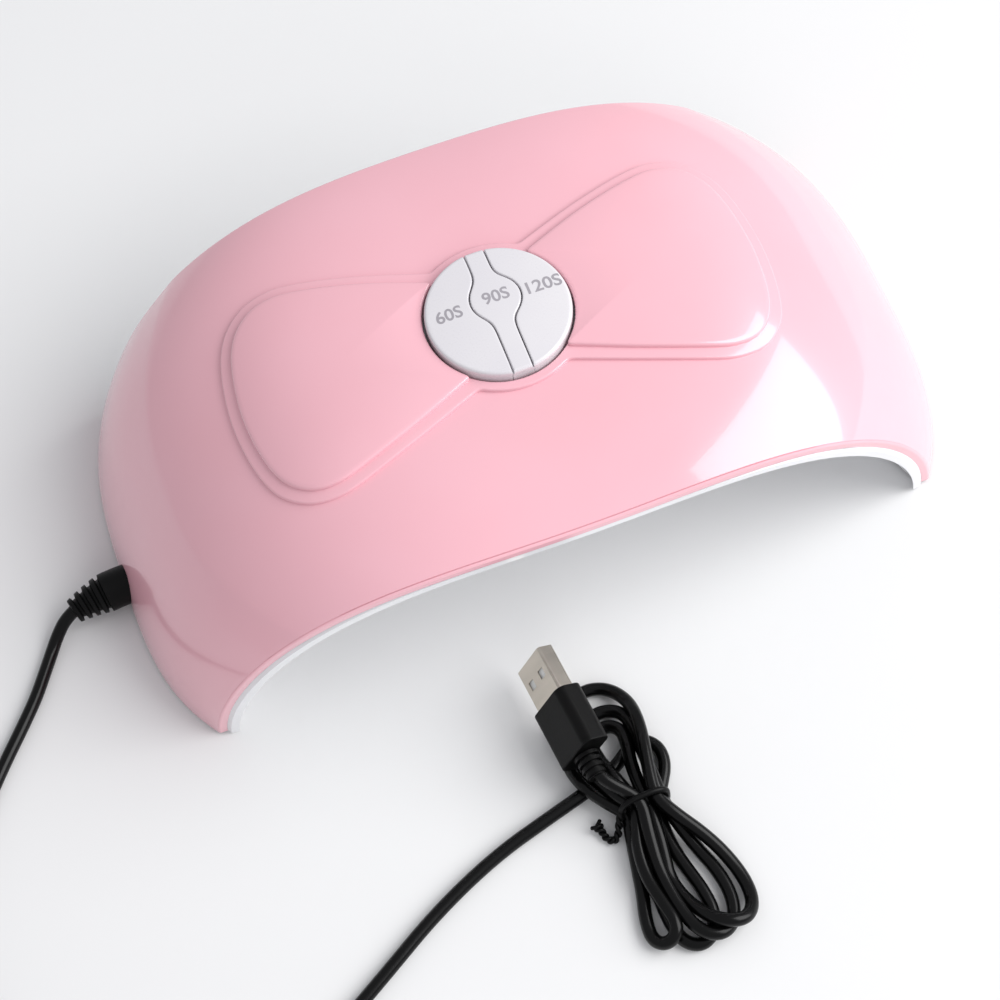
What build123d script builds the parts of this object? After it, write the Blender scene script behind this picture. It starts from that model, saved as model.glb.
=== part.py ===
from build123d import *
import os
from math import atan2, cos, pi, radians, sin, tan

os.makedirs("parts", exist_ok=True)

# A desktop nail lamp: a low arch, open at the front and the back, with a raised bow and three timer keys
# on its crown.  Origin: centre of the footprint, on the desk.  +X runs along the arch, +Z up, front is -Y.

# ---- driving dimensions (mm) ----
FOOT_DROP = 0.8            # the rubber feet hold the casing this far off the desk
HALF_WIDTH = 107.0         # half the casing's width, halfway from front to back
RIM_HALF_WIDTH = 95.9      # half the width of the front and back rims, at the desk
CROWN = 62.7               # height of the crown above the casing's lower edge, halfway back
RIM_CROWN = 57.4           # height of the rims' crown
LEG_DEPTH = 49.5           # from the middle to the rim, at the legs
CROWN_DEPTH = 56.6         # from the middle to the rim, at the crown: the rims bow outward
SWELL_POWER = 3.25         # how late the casing swells from its rims to its middle
FLANK_POWER = 3.36         # the arch follows |x/w|^FLANK_POWER + (z/h)^CROWN_POWER = 1
CROWN_POWER = 1.57
ARCH_STATIONS = (1, 0.985, 0.94, 0.85, 0.7, 0.5, 0.25, 0)
SECTION_Y = (-60, -40, -20, 0, 20, 40, 60)

OUTER_WALL = 2.2
INNER_WALL = 1.8
SHELL_GAP = 0.15           # between the two shells where their rims run together
INNER_PROUD = 0.5          # the inner shell's rim shows this far past the outer one
TUNNEL_PINCH = 10.4        # how much narrower the hand tunnel is on each side halfway back
TUNNEL_DROP = 9.0          # how much lower it is there
LIP_DEPTH = 2.0            # depth of the rim where the two shells run together
FLANGE = 2.0               # thickness of the inner shell's floor under each leg

LEDGE_RISE = 1.0           # the bow's ledge above the casing
PILLOW_RISE = 2.2          # the bow's pillows above the casing
COLLAR_RADIUS = 20.5
WELL_RADIUS = 18.2         # hole that the three keys fill

KEY_RADIUS = 17.6
KEY_FLANGE_RADIUS = 19.4
KEY_RIM_TOP = 66.9         # top of the keys' side wall
KEY_DOME = 0.7             # rise of the keys' domed face
KEY_GAP = 0.6              # slot between neighbouring keys
STRIP_HALF = 2.3           # half the width of the middle key's strip
LOBE_RADIUS = 6.0
LOBE_CENTRE = (0.5, 3.0)
KEY_FLANGE_TOP = 60.9
KEY_FLANGE_THICK = 1.0
KEY_STEM_RADIUS = 1.8
KEY_STEMS = {"60s": (-10.5, 0), "90s": (0.5, 0), "120s": (10.5, 0)}

BOARD = 1.6                # thickness of every circuit board
CONTROL_TOP = 53.6         # upper face of the control board
SWITCH_HEIGHT = 3.0
PLUNGER_GAP = 0.3          # free play between a key's stem and its switch plunger
PLUNGER_OUT = 0.6
FRAME_TOP = 59.0           # key frame, under the keys' flanges
FRAME_THICK = 1.6

LED_BOARD_BOTTOM = 48.8    # underside of the crown LED board
LED_HEIGHT = 1.2
LENS_RADIUS = 2.75
LENS_HOLE_RADIUS = 3.0
LENS_TIP = 41.8
SIDE_LED_X = 66.0          # where the shoulder LED boards stand over the inner shell
SIDE_BOARD_OFFSET = 3.9
SIDE_LENS_TIP = -3.9       # shoulder lens tips, measured from the inner shell's outer surface

CORD_DIAMETER = 3.3
CORD_RADIUS = CORD_DIAMETER / 2
EXIT_Y = -4.5              # the cord leaves the left flank here, just above the desk
EXIT_Z = 6.0
BOOT_BIG_RADIUS = 5.1
BOOT_SMALL_RADIUS = 2.9
BOOT_END_X = -119.8
BOOT_SHOULDER_X = -101.6   # the boot's collar bears on the casing's inside here
SCREW_RADIUS = 1.25
BOSS_RADIUS = 3.5
CLAMP_SITES = [(-93.5, EXIT_Y - 7), (-93.5, EXIT_Y + 7)]
CASE_SCREW_SITES = [(sx * 94.0, sy * 18.0) for sx in (-1, 1) for sy in (-1, 1)]
FOOT_SITES = [(sx * 94.6, sy * 33.0) for sx in (-1, 1) for sy in (-1, 1)]
FOOT_RADIUS = 4.0
FOOT_THICK = 1.6
FRAME_SCREW_SITES = [(sx * 23.0, sy * 18.5) for sx in (-1, 1) for sy in (-1, 1)]
BOARD_SCREW_SITES = [(sx * 30.5, sy * 14.5) for sx in (-1, 1) for sy in (-1, 1)]
CROWN_LED_SCREW_SITES = [(sx * 46.0, sy * 17.0) for sx in (-1, 1) for sy in (-1, 1)]
SMALL_SCREW_RADIUS = 0.95
SMALL_BOSS_RADIUS = 2.6

# The cord's route from the boot, across the desk to the tied hank in front of the lamp.
CORD_ROUTE = [
    (BOOT_END_X, EXIT_Y, EXIT_Z),
    (-123.4, -5.6, 5.2),
    (-126.6, -9.2, 3.2),
    (-129.2, -13.6, CORD_RADIUS),
    (-132.2, -18.4, CORD_RADIUS),
    (-136.0, -24.0, CORD_RADIUS),
    (-141.4, -30.8, CORD_RADIUS),
    (-148.4, -39.0, CORD_RADIUS),
    (-157.2, -50.4, CORD_RADIUS),
    (-165.8, -66.0, CORD_RADIUS),
    (-170.5, -84.0, CORD_RADIUS),
    (-168.5, -102.4, CORD_RADIUS),
    (-160.0, -118.6, CORD_RADIUS),
    (-145.4, -129.8, CORD_RADIUS),
    (-127.0, -135.4, CORD_RADIUS),
    (-108.0, -135.6, CORD_RADIUS),
    (-91.4, -130.6, CORD_RADIUS),
    (-76.4, -121.8, CORD_RADIUS),
    (-60.2, -112.0, CORD_RADIUS),
    (-42.4, -104.0, CORD_RADIUS),
    (-26.6, -99.6, CORD_RADIUS),
    (-16.0, -96.8, CORD_RADIUS),
]
HANK_HEIGHT = 10.0
HANK_LOW_HEIGHT = 3.4
TIE_Y = -106.2
TIE_WIRE_RADIUS = 0.8
TIE_CENTRE = (-5.3, 5.95)  # x and z of the tied bundle's middle
TIE_SIZE = (13.4, 11.9)    # over the wire

PLUG_SHELL_SIZE = (12.0, 4.5, 12.0)       # width, thickness, visible length
PLUG_MOULD_SIZE = (15.0, 7.5, 15.5)
PLUG_BOOT_LENGTH = 6.5
PLUG_WALL = 0.35
PLUG_TUCK = 2.0            # length of the plug's shell inside its overmould
# The plug lies on the hank, rolled onto its narrow side, its tip towards the lamp.
PLUG_PLANE = Plane(origin=(-14.6, -91.6, 12.2), x_dir=(0.5, 0.05, 0.866), z_dir=(-0.1, 1, 0))


# ---- the arch forms ----
def swell(y, depth):
    """1 halfway from front to back, 0 at the rim, negative beyond it."""
    return 1 - (abs(y) / depth) ** SWELL_POWER


def casing_size(y):
    """Half width and crown height of the casing's outer surface at y."""
    half_width = RIM_HALF_WIDTH + (HALF_WIDTH - RIM_HALF_WIDTH) * swell(y, LEG_DEPTH)
    crown = RIM_CROWN + (CROWN - RIM_CROWN) * swell(y, CROWN_DEPTH)
    return half_width, crown


def tunnel_size(y):
    """Half width and crown height of the inner shell's upper surface at y: waisted, unlike the casing."""
    rim_inset = OUTER_WALL + SHELL_GAP
    half_width = RIM_HALF_WIDTH - rim_inset - TUNNEL_PINCH * (1 - (y / (LEG_DEPTH - LIP_DEPTH)) ** 2)
    crown = RIM_CROWN - rim_inset - TUNNEL_DROP * (1 - (y / (CROWN_DEPTH - LIP_DEPTH)) ** 2)
    return half_width, crown


def arch_height(x, half_width, crown):
    """Height of an arch above the desk, at x."""
    return FOOT_DROP + crown * (1 - (abs(x) / half_width) ** FLANK_POWER) ** (1 / CROWN_POWER)


def arch_form(size_at, inset):
    """Solid arch lofted from front to back, everywhere inset by the same amount."""
    with BuildPart() as form:
        for y in SECTION_Y:
            half_width, crown = (size - inset for size in size_at(y))
            right = [(half_width * s, arch_height(half_width * s, half_width, crown)) for s in ARCH_STATIONS]
            left = [(-x, z) for x, z in reversed(right[:-1])]
            with BuildSketch(Plane.XZ.offset(-y)):
                with BuildLine():
                    Spline(*right, *left)
                    Line(left[-1], right[0])
                make_face()
        loft()
    return form.part


def footprint(proud):
    """Prism over the arch's plan: straight sides and outward-bowed front and back rims."""
    side = HALF_WIDTH + 5
    slope = (CROWN_DEPTH - LEG_DEPTH) / RIM_HALF_WIDTH ** 2
    corner = CROWN_DEPTH - slope * side ** 2 + proud
    middle = CROWN_DEPTH + proud
    with BuildPart() as prism:
        with BuildSketch():
            with BuildLine():
                ThreePointArc((-side, -corner), (0, -middle), (side, -corner))
                Line((side, -corner), (side, corner))
                ThreePointArc((side, corner), (0, middle), (-side, corner))
                Line((-side, corner), (-side, -corner))
            make_face()
        extrude(amount=100)
    return prism.part


# ---- the bow's plan ----
LEDGE_OUTLINE = [(8, 16), (27, 23.3), (43, 28.5), (50.5, 29.6),
                 (57.5, 27.8), (63.3, 22.2), (66.5, 13), (67.8, 0)]
PILLOW_OUTLINE = [(8, 12.4), (27, 20.3), (43, 25.6), (50.3, 26.8),
                  (56.1, 25.3), (61, 20.4), (63.8, 12.2), (65, 0)]


def bow_prism(outline):
    """Prism over both of the bow's lobes: outline runs from the keys to the lobe's end, at y >= 0."""
    upper = outline[:-1]
    lower = [(x, -y) for x, y in reversed(upper)]
    with BuildPart() as prism:
        with BuildSketch(Plane.XY.offset(40)):
            with BuildLine():
                Spline(*upper, outline[-1], *lower)
                Line(lower[-1], upper[0])
            make_face()
            mirror(about=Plane.YZ)
        extrude(amount=40)
    return prism.part


with BuildPart() as bow_ledge:
    add(bow_prism(LEDGE_OUTLINE))
    with BuildSketch(Plane.XY.offset(40)):
        Circle(COLLAR_RADIUS)
    extrude(amount=40)
    add(arch_form(casing_size, -LEDGE_RISE), mode=Mode.INTERSECT)

with BuildPart() as bow_pillows:
    add(bow_prism(PILLOW_OUTLINE))
    add(arch_form(casing_size, -PILLOW_RISE), mode=Mode.INTERSECT)


# ---- placements used by several pieces ----
MID_WIDTH, MID_CROWN = tunnel_size(0)
SIDE_LED_Z = arch_height(SIDE_LED_X, MID_WIDTH, MID_CROWN)
SIDE_SLOPE_X = FLANK_POWER * (SIDE_LED_X / MID_WIDTH) ** (FLANK_POWER - 1) / MID_WIDTH
SIDE_SLOPE_Z = CROWN_POWER * ((SIDE_LED_Z - FOOT_DROP) / MID_CROWN) ** (CROWN_POWER - 1) / MID_CROWN
SIDE_TILT = atan2(SIDE_SLOPE_X, SIDE_SLOPE_Z)


def shoulder_plane(side, height):
    """Plane square to the inner shell's shoulder: side is -1 left or 1 right, height is along its normal."""
    normal = (side * sin(SIDE_TILT), 0, cos(SIDE_TILT))
    return Plane(origin=(side * SIDE_LED_X, 0, SIDE_LED_Z), x_dir=(0, 1, 0), z_dir=normal).offset(height)


CROWN_LED_SITES = [(x, y) for x in (-40, -20, 0, 20, 40) for y in (-13, 13)]
SIDE_LED_SITES = [(y, 0) for y in (-19.5, -6.5, 6.5, 19.5)]
SIDE_SCREW_SITES = [(y, 0) for y in (-27.0, 27.0)]

# ---- casing ----
with BuildPart() as outer_shell:
    add(arch_form(casing_size, 0))
    add(bow_ledge.part)
    add(bow_pillows.part)
    add(arch_form(casing_size, OUTER_WALL), mode=Mode.SUBTRACT)
    add(footprint(0), mode=Mode.INTERSECT)

with BuildPart() as bosses:
    with BuildSketch(Plane.XY.offset(FOOT_DROP + FLANGE + INNER_WALL)):
        with Locations(*CASE_SCREW_SITES):
            Circle(BOSS_RADIUS)
    extrude(amount=30)
    with BuildSketch(Plane.XY.offset(FRAME_TOP)):
        with Locations(*FRAME_SCREW_SITES):
            Circle(SMALL_BOSS_RADIUS)
    extrude(amount=8)
    with BuildSketch(Plane.XY.offset(CONTROL_TOP)):
        with Locations(*BOARD_SCREW_SITES):
            Circle(SMALL_BOSS_RADIUS)
    extrude(amount=12)
    add(arch_form(casing_size, OUTER_WALL / 2), mode=Mode.INTERSECT)

with BuildPart() as outer_shell_finished:
    add(outer_shell.part)
    add(bosses.part)
    with BuildSketch(Plane.XY.offset(FRAME_TOP)):
        Circle(WELL_RADIUS)
    extrude(amount=12, mode=Mode.SUBTRACT)
    with BuildSketch(Plane.XY.offset(FOOT_DROP)):
        with Locations(*CASE_SCREW_SITES):
            Circle(SCREW_RADIUS + 0.05)
    extrude(amount=14, mode=Mode.SUBTRACT)
    with BuildSketch(Plane.XY.offset(CONTROL_TOP)):
        with Locations(*BOARD_SCREW_SITES):
            Circle(SMALL_SCREW_RADIUS + 0.05)
    extrude(amount=6, mode=Mode.SUBTRACT)
    with BuildSketch(Plane.XY.offset(FRAME_TOP)):
        with Locations(*FRAME_SCREW_SITES):
            Circle(SMALL_SCREW_RADIUS + 0.05)
    extrude(amount=2.6, mode=Mode.SUBTRACT)
    with BuildSketch(Plane.YZ.offset(-HALF_WIDTH - 5)):
        with Locations((EXIT_Y, EXIT_Z)):
            Circle(BOOT_BIG_RADIUS - 1.1)
    extrude(amount=12, mode=Mode.SUBTRACT)

outer_shell_finished.part.label = "outer_shell"
export_step(outer_shell_finished.part, "parts/outer_shell.step")

# The hand tunnel: below the inner shell's wall, and inside the casing's lip where the two run together.
with BuildPart() as tunnel:
    add(arch_form(tunnel_size, INNER_WALL))
    add(arch_form(casing_size, OUTER_WALL + SHELL_GAP + INNER_WALL), mode=Mode.INTERSECT)

with BuildPart() as inner_outside:
    add(arch_form(tunnel_size, 0))
    add(arch_form(casing_size, OUTER_WALL + SHELL_GAP), mode=Mode.INTERSECT)

with BuildPart() as leg_floors:
    add(arch_form(casing_size, OUTER_WALL + SHELL_GAP))
    with BuildSketch():
        Rectangle(3 * HALF_WIDTH, 3 * LEG_DEPTH)
    extrude(amount=FOOT_DROP + FLANGE, mode=Mode.INTERSECT)

PAD_TOP = FOOT_DROP + FLANGE + INNER_WALL - 0.2
SCREW_SEAT = PAD_TOP - 1.6

with BuildPart() as posts:
    with BuildSketch(Plane.XY.offset(LED_BOARD_BOTTOM)):
        with Locations(*CROWN_LED_SCREW_SITES):
            Circle(SMALL_BOSS_RADIUS)
    extrude(amount=-10)
    for side in (-1, 1):
        with BuildSketch(shoulder_plane(side, SIDE_BOARD_OFFSET)):
            with Locations(*SIDE_SCREW_SITES):
                Circle(SMALL_BOSS_RADIUS - 0.4)
        extrude(amount=-5)

with BuildPart() as inner_shell:
    add(inner_outside.part)
    add(leg_floors.part)
    add(posts.part)
    with BuildSketch(Plane.XY.offset(FOOT_DROP)):
        with Locations(*CASE_SCREW_SITES):
            Circle(BOSS_RADIUS + 1.2)
    extrude(amount=PAD_TOP - FOOT_DROP)
    with BuildSketch(Plane.XY.offset(FOOT_DROP)):
        with Locations(*CLAMP_SITES):
            Circle(SMALL_BOSS_RADIUS)
    extrude(amount=EXIT_Z + CORD_RADIUS - FOOT_DROP)
    add(tunnel.part, mode=Mode.SUBTRACT)
    add(footprint(INNER_PROUD), mode=Mode.INTERSECT)
    with BuildSketch(Plane.XY.offset(FOOT_DROP)):
        with Locations(*FOOT_SITES):
            Circle(FOOT_RADIUS + 0.1)
    extrude(amount=FOOT_THICK - FOOT_DROP, mode=Mode.SUBTRACT)
    with BuildSketch(Plane.XY.offset(FOOT_DROP)):
        with Locations(*CASE_SCREW_SITES):
            Circle(SCREW_RADIUS + 1.8)
    extrude(amount=SCREW_SEAT - FOOT_DROP, mode=Mode.SUBTRACT)
    with BuildSketch(Plane.XY.offset(FOOT_DROP)):
        with Locations(*CASE_SCREW_SITES):
            Circle(SCREW_RADIUS + 0.15)
    extrude(amount=8, mode=Mode.SUBTRACT)
    with BuildSketch(Plane.XY.offset(LED_BOARD_BOTTOM)):
        with Locations(*CROWN_LED_SCREW_SITES):
            Circle(SMALL_SCREW_RADIUS - 0.1)
    extrude(amount=-3.5, mode=Mode.SUBTRACT)
    with BuildSketch(Plane.XY.offset(LED_BOARD_BOTTOM)):
        with Locations(*CROWN_LED_SITES):
            Circle(LENS_HOLE_RADIUS)
    extrude(amount=-12, mode=Mode.SUBTRACT)
    for side in (-1, 1):
        with BuildSketch(shoulder_plane(side, SIDE_BOARD_OFFSET)):
            with Locations(*SIDE_LED_SITES):
                Circle(LENS_HOLE_RADIUS)
        extrude(amount=-10, mode=Mode.SUBTRACT)
    with BuildSketch(Plane.XY.offset(EXIT_Z + CORD_RADIUS)):
        with Locations(*CLAMP_SITES):
            Circle(SMALL_SCREW_RADIUS + 0.05)
    extrude(amount=-4.2, mode=Mode.SUBTRACT)
    with BuildSketch(Plane.YZ.offset(-HALF_WIDTH)):
        with Locations((EXIT_Y, EXIT_Z)):
            Circle(BOOT_BIG_RADIUS + 0.2)
    extrude(amount=8.5, mode=Mode.SUBTRACT)

inner_shell.part.label = "inner_shell"
export_step(inner_shell.part, "parts/inner_shell.step")


# ---- fasteners and feet ----
def pan_screws(name, sites, plane, radius, length, head_radius, head_height):
    """Pan-head screws whose heads stand on the plane and whose shanks run against its normal."""
    with BuildPart() as screws:
        with BuildSketch(plane):
            with Locations(*sites):
                Circle(radius)
        extrude(amount=-length)
        with BuildSketch(plane):
            with Locations(*sites):
                Circle(head_radius)
        extrude(amount=head_height)
        heads = screws.faces().filter_by(lambda face: abs(face.area - pi * head_radius ** 2) < 0.01)
        fillet(heads.edges(), 0.3 * head_height)
        with Locations(plane.offset(head_height)):
            with Locations(*sites):
                for turn in (0, 90):
                    Box(1.5 * head_radius, 0.3 * head_radius, head_height, rotation=(0, 0, turn),
                        mode=Mode.SUBTRACT)
    screws.part.label = name
    export_step(screws.part, f"parts/{name}.step")
    return screws


UNDERSIDE = Plane(origin=(0, 0, SCREW_SEAT), x_dir=(1, 0, 0), z_dir=(0, 0, -1))
pan_screws("case_screws", [(x, -y) for x, y in CASE_SCREW_SITES], UNDERSIDE, SCREW_RADIUS, 10, 2.5, 1.5)

with BuildPart() as feet:
    with BuildSketch():
        with Locations(*FOOT_SITES):
            Circle(FOOT_RADIUS)
    extrude(amount=FOOT_THICK)
    fillet(feet.edges().group_by(Axis.Z)[0], 0.4)

feet.part.label = "rubber_feet"
export_step(feet.part, "parts/rubber_feet.step")


# ---- the three keys, their frame and switches ----
def key_plan(name, radius):
    """Plan of one key in a circle: the middle key is a strip with a round lobe, the others fill the rest."""
    with BuildSketch(mode=Mode.PRIVATE) as plan:
        if name == "90s":
            Rectangle(2 * STRIP_HALF, 3 * radius)
            with Locations(LOBE_CENTRE):
                Circle(LOBE_RADIUS)
            Circle(radius, mode=Mode.INTERSECT)
        else:
            side = -1 if name == "60s" else 1
            Circle(radius)
            Rectangle(2 * (STRIP_HALF + KEY_GAP), 3 * radius, mode=Mode.SUBTRACT)
            with Locations(LOBE_CENTRE):
                Circle(LOBE_RADIUS + KEY_GAP, mode=Mode.SUBTRACT)
            with Locations((side * radius, 0)):
                Rectangle(2 * radius, 3 * radius, mode=Mode.INTERSECT)
    return plan.sketch


KEY_SPHERE = (KEY_RADIUS ** 2 + KEY_DOME ** 2) / (2 * KEY_DOME)
KEY_FLANGE_BOTTOM = KEY_FLANGE_TOP - KEY_FLANGE_THICK
SWITCH_TOP = CONTROL_TOP + SWITCH_HEIGHT

for name, site in KEY_STEMS.items():
    with BuildPart() as key:
        with BuildSketch(Plane.XY.offset(KEY_FLANGE_BOTTOM)):
            add(key_plan(name, KEY_RADIUS))
        extrude(amount=12)
        with Locations((0, 0, KEY_RIM_TOP + KEY_DOME - KEY_SPHERE)):
            Sphere(KEY_SPHERE, mode=Mode.INTERSECT)
        with BuildSketch(Plane.XY.offset(KEY_FLANGE_BOTTOM)):
            add(key_plan(name, KEY_FLANGE_RADIUS))
        extrude(amount=KEY_FLANGE_THICK)
        with BuildSketch(Plane.XY.offset(KEY_FLANGE_BOTTOM)):
            with Locations(site):
                Circle(KEY_STEM_RADIUS)
        extrude(amount=-(KEY_FLANGE_BOTTOM - SWITCH_TOP - PLUNGER_OUT - PLUNGER_GAP))
    key.part.label = f"key_{name}"
    export_step(key.part, f"parts/key_{name}.step")

    with BuildPart() as plunger:
        with BuildSketch(Plane.XY.offset(SWITCH_TOP - 1.2)):
            with Locations(site):
                Circle(1.6)
        extrude(amount=1.2 + PLUNGER_OUT)
        chamfer(plunger.edges().group_by(Axis.Z)[-1], 0.2)
    plunger.part.label = f"switch_plunger_{name}"
    export_step(plunger.part, f"parts/switch_plunger_{name}.step")

with BuildPart() as key_frame:
    with BuildSketch(Plane.XY.offset(FRAME_TOP)):
        RectangleRounded(53, 44, 6)
        with Locations(*KEY_STEMS.values()):
            Circle(KEY_STEM_RADIUS + 0.5, mode=Mode.SUBTRACT)
        with Locations(*FRAME_SCREW_SITES):
            Circle(SMALL_SCREW_RADIUS + 0.1, mode=Mode.SUBTRACT)
        with Locations((0, 12), (0, -12)):
            SlotOverall(26, 5, mode=Mode.SUBTRACT)
    extrude(amount=-FRAME_THICK)

key_frame.part.label = "key_frame"
export_step(key_frame.part, "parts/key_frame.step")

FRAME_UNDERSIDE = Plane(origin=(0, 0, FRAME_TOP - FRAME_THICK), x_dir=(1, 0, 0), z_dir=(0, 0, -1))
pan_screws("key_frame_screws", FRAME_SCREW_SITES, FRAME_UNDERSIDE, SMALL_SCREW_RADIUS, 4, 1.8, 1.1)

with BuildPart() as control_board:
    with BuildSketch(Plane.XY.offset(CONTROL_TOP)):
        RectangleRounded(68, 36, 2)
        with Locations(*BOARD_SCREW_SITES):
            Circle(SMALL_SCREW_RADIUS + 0.15, mode=Mode.SUBTRACT)
    extrude(amount=-BOARD)

control_board.part.label = "control_board"
export_step(control_board.part, "parts/control_board.step")

BOARD_UNDERSIDE = Plane(origin=(0, 0, CONTROL_TOP - BOARD), x_dir=(1, 0, 0), z_dir=(0, 0, -1))
pan_screws("control_board_screws", BOARD_SCREW_SITES, BOARD_UNDERSIDE, SMALL_SCREW_RADIUS, 6, 1.8, 1.1)

with BuildPart() as switches:
    with BuildSketch(Plane.XY.offset(CONTROL_TOP)):
        with Locations(*KEY_STEMS.values()):
            RectangleRounded(6, 6, 0.5)
    extrude(amount=SWITCH_HEIGHT)
    with BuildSketch(Plane.XY.offset(SWITCH_TOP)):
        with Locations(*KEY_STEMS.values()):
            Circle(1.7)
    extrude(amount=-2.4, mode=Mode.SUBTRACT)

switches.part.label = "switch_bodies"
export_step(switches.part, "parts/switch_bodies.step")

with BuildPart() as domes:
    with BuildSketch(Plane.XY.offset(SWITCH_TOP - 2.4)):
        with Locations(*KEY_STEMS.values()):
            Circle(1.55)
    extrude(amount=0.4, taper=20)

domes.part.label = "switch_domes"
export_step(domes.part, "parts/switch_domes.step")


# ---- what stands on the control board ----
def board_blocks(name, sites, size, rounded, plane=Plane.XY.offset(CONTROL_TOP)):
    """Rectangular components on a board's face, each with a small edge radius on top."""
    width, depth, height = size
    with BuildPart() as blocks:
        with BuildSketch(plane):
            with Locations(*sites):
                Rectangle(width, depth)
        extrude(amount=height)
        top = blocks.faces().filter_by(lambda face: (face.normal_at() - plane.z_dir).length < 0.01)
        fillet(top.edges(), rounded)
    blocks.part.label = name
    export_step(blocks.part, f"parts/{name}.step")
    return blocks


with BuildPart() as controller:
    with BuildSketch(Plane.XY.offset(CONTROL_TOP + 0.2)):
        with Locations((-21, 10)):
            Rectangle(9, 3.9)
    extrude(amount=1.4)
    with BuildSketch(Plane.XY.offset(CONTROL_TOP)):
        for end in (-1, 1):
            with Locations((-21, 10 + end * 2.4)):
                with GridLocations(1.27, 0, 7, 1):
                    Rectangle(0.42, 1.2)
    extrude(amount=0.9)

controller.part.label = "controller_chip"
export_step(controller.part, "parts/controller_chip.step")

TRANSISTOR_SITES = [(17, 10), (25, 8.5)]
with BuildPart() as transistors:
    with BuildSketch(Plane.XY.offset(CONTROL_TOP)):
        with Locations(*TRANSISTOR_SITES):
            Rectangle(6.5, 6)
    extrude(amount=2.2)
    with BuildSketch(Plane.XY.offset(CONTROL_TOP)):
        with Locations(*TRANSISTOR_SITES):
            with Locations((0, 3.4)):
                Rectangle(5.2, 1.4)
    extrude(amount=0.6)

transistors.part.label = "driver_transistors"
export_step(transistors.part, "parts/driver_transistors.step")

with BuildPart() as capacitors:
    with BuildSketch(Plane.XY.offset(CONTROL_TOP)):
        with Locations((-20, -10), (-12.5, -12)):
            Circle(2.5)
    extrude(amount=3.2)
    fillet(capacitors.edges().group_by(Axis.Z)[-1], 0.4)

capacitors.part.label = "capacitors"
export_step(capacitors.part, "parts/capacitors.step")

board_blocks("resistors", [(8 + 2.4 * i, -12) for i in range(5)], (1.3, 2.2, 0.6), 0.1)
board_blocks("power_inductor", [(26, -8)], (6, 6, 3.0), 0.5)

SOCKET_PLANE = Plane.XY.offset(CONTROL_TOP)
SOCKET_SITES = [(-31, -6), (-31, 5), (31, 0)]
board_blocks("lead_sockets", SOCKET_SITES, (4.6, 6.4, 3.4), 0.3, SOCKET_PLANE)

with BuildPart() as board_link:
    with BuildSketch(Plane.XY.offset(LED_BOARD_BOTTOM + BOARD)):
        with Locations((0, 0)):
            Rectangle(8, 2.5)
    extrude(amount=CONTROL_TOP - 2 * BOARD - LED_BOARD_BOTTOM)

board_link.part.label = "board_link_header"
export_step(board_link.part, "parts/board_link_header.step")

# ---- LED boards, LEDs and lenses ----
with BuildPart() as crown_board:
    with BuildSketch(Plane.XY.offset(LED_BOARD_BOTTOM)):
        RectangleRounded(98, 40, 3)
        with Locations(*CROWN_LED_SCREW_SITES):
            Circle(SMALL_SCREW_RADIUS + 0.15, mode=Mode.SUBTRACT)
    extrude(amount=BOARD)

crown_board.part.label = "led_board_crown"
export_step(crown_board.part, "parts/led_board_crown.step")

CROWN_BOARD_TOP = Plane.XY.offset(LED_BOARD_BOTTOM + BOARD)
pan_screws("led_board_screws", CROWN_LED_SCREW_SITES, CROWN_BOARD_TOP,
           SMALL_SCREW_RADIUS - 0.2, 4.4, 1.7, 1.0)


def leds_and_lenses(place, plane, sites, tip):
    """LED packages under a board, and the domed lenses that reach down through the inner shell to tip."""
    with BuildPart() as packages:
        with BuildSketch(plane):
            with Locations(*sites):
                RectangleRounded(5, 5, 0.4)
        extrude(amount=-LED_HEIGHT)
    packages.part.label = f"leds_{place}"
    export_step(packages.part, f"parts/leds_{place}.step")
    with BuildPart() as lenses:
        with BuildSketch(plane.offset(-LED_HEIGHT)):
            with Locations(*sites):
                Circle(LENS_RADIUS)
        extrude(amount=-(tip - LED_HEIGHT))
        ends = lenses.faces().filter_by(lambda face: (face.normal_at() + plane.z_dir).length < 0.01)
        fillet(ends.edges(), LENS_RADIUS - 0.4)
    lenses.part.label = f"led_lenses_{place}"
    export_step(lenses.part, f"parts/led_lenses_{place}.step")


leds_and_lenses("crown", Plane.XY.offset(LED_BOARD_BOTTOM), CROWN_LED_SITES, LED_BOARD_BOTTOM - LENS_TIP)

for side, place in ((-1, "left"), (1, "right")):
    board_plane = shoulder_plane(side, SIDE_BOARD_OFFSET)
    with BuildPart() as side_board:
        with BuildSketch(board_plane):
            RectangleRounded(60, 11, 2)
            with Locations(*SIDE_SCREW_SITES):
                Circle(SMALL_SCREW_RADIUS - 0.05, mode=Mode.SUBTRACT)
        extrude(amount=BOARD)
    side_board.part.label = f"led_board_{place}"
    export_step(side_board.part, f"parts/led_board_{place}.step")
    leds_and_lenses(place, board_plane, SIDE_LED_SITES, SIDE_BOARD_OFFSET - SIDE_LENS_TIP)


# ---- internal wiring ----
def wire(name, routes, radius, corner):
    """Insulated wires as round tubes along straight runs and tangent arcs."""
    with BuildPart() as wires:
        for route in routes:
            with BuildLine():
                path = FilletPolyline(*route, radius=corner)
            with BuildSketch(Plane(origin=path @ 0, z_dir=path % 0)):
                Circle(radius)
            sweep(path=path)
    wires.part.label = name
    export_step(wires.part, f"parts/{name}.step")


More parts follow.
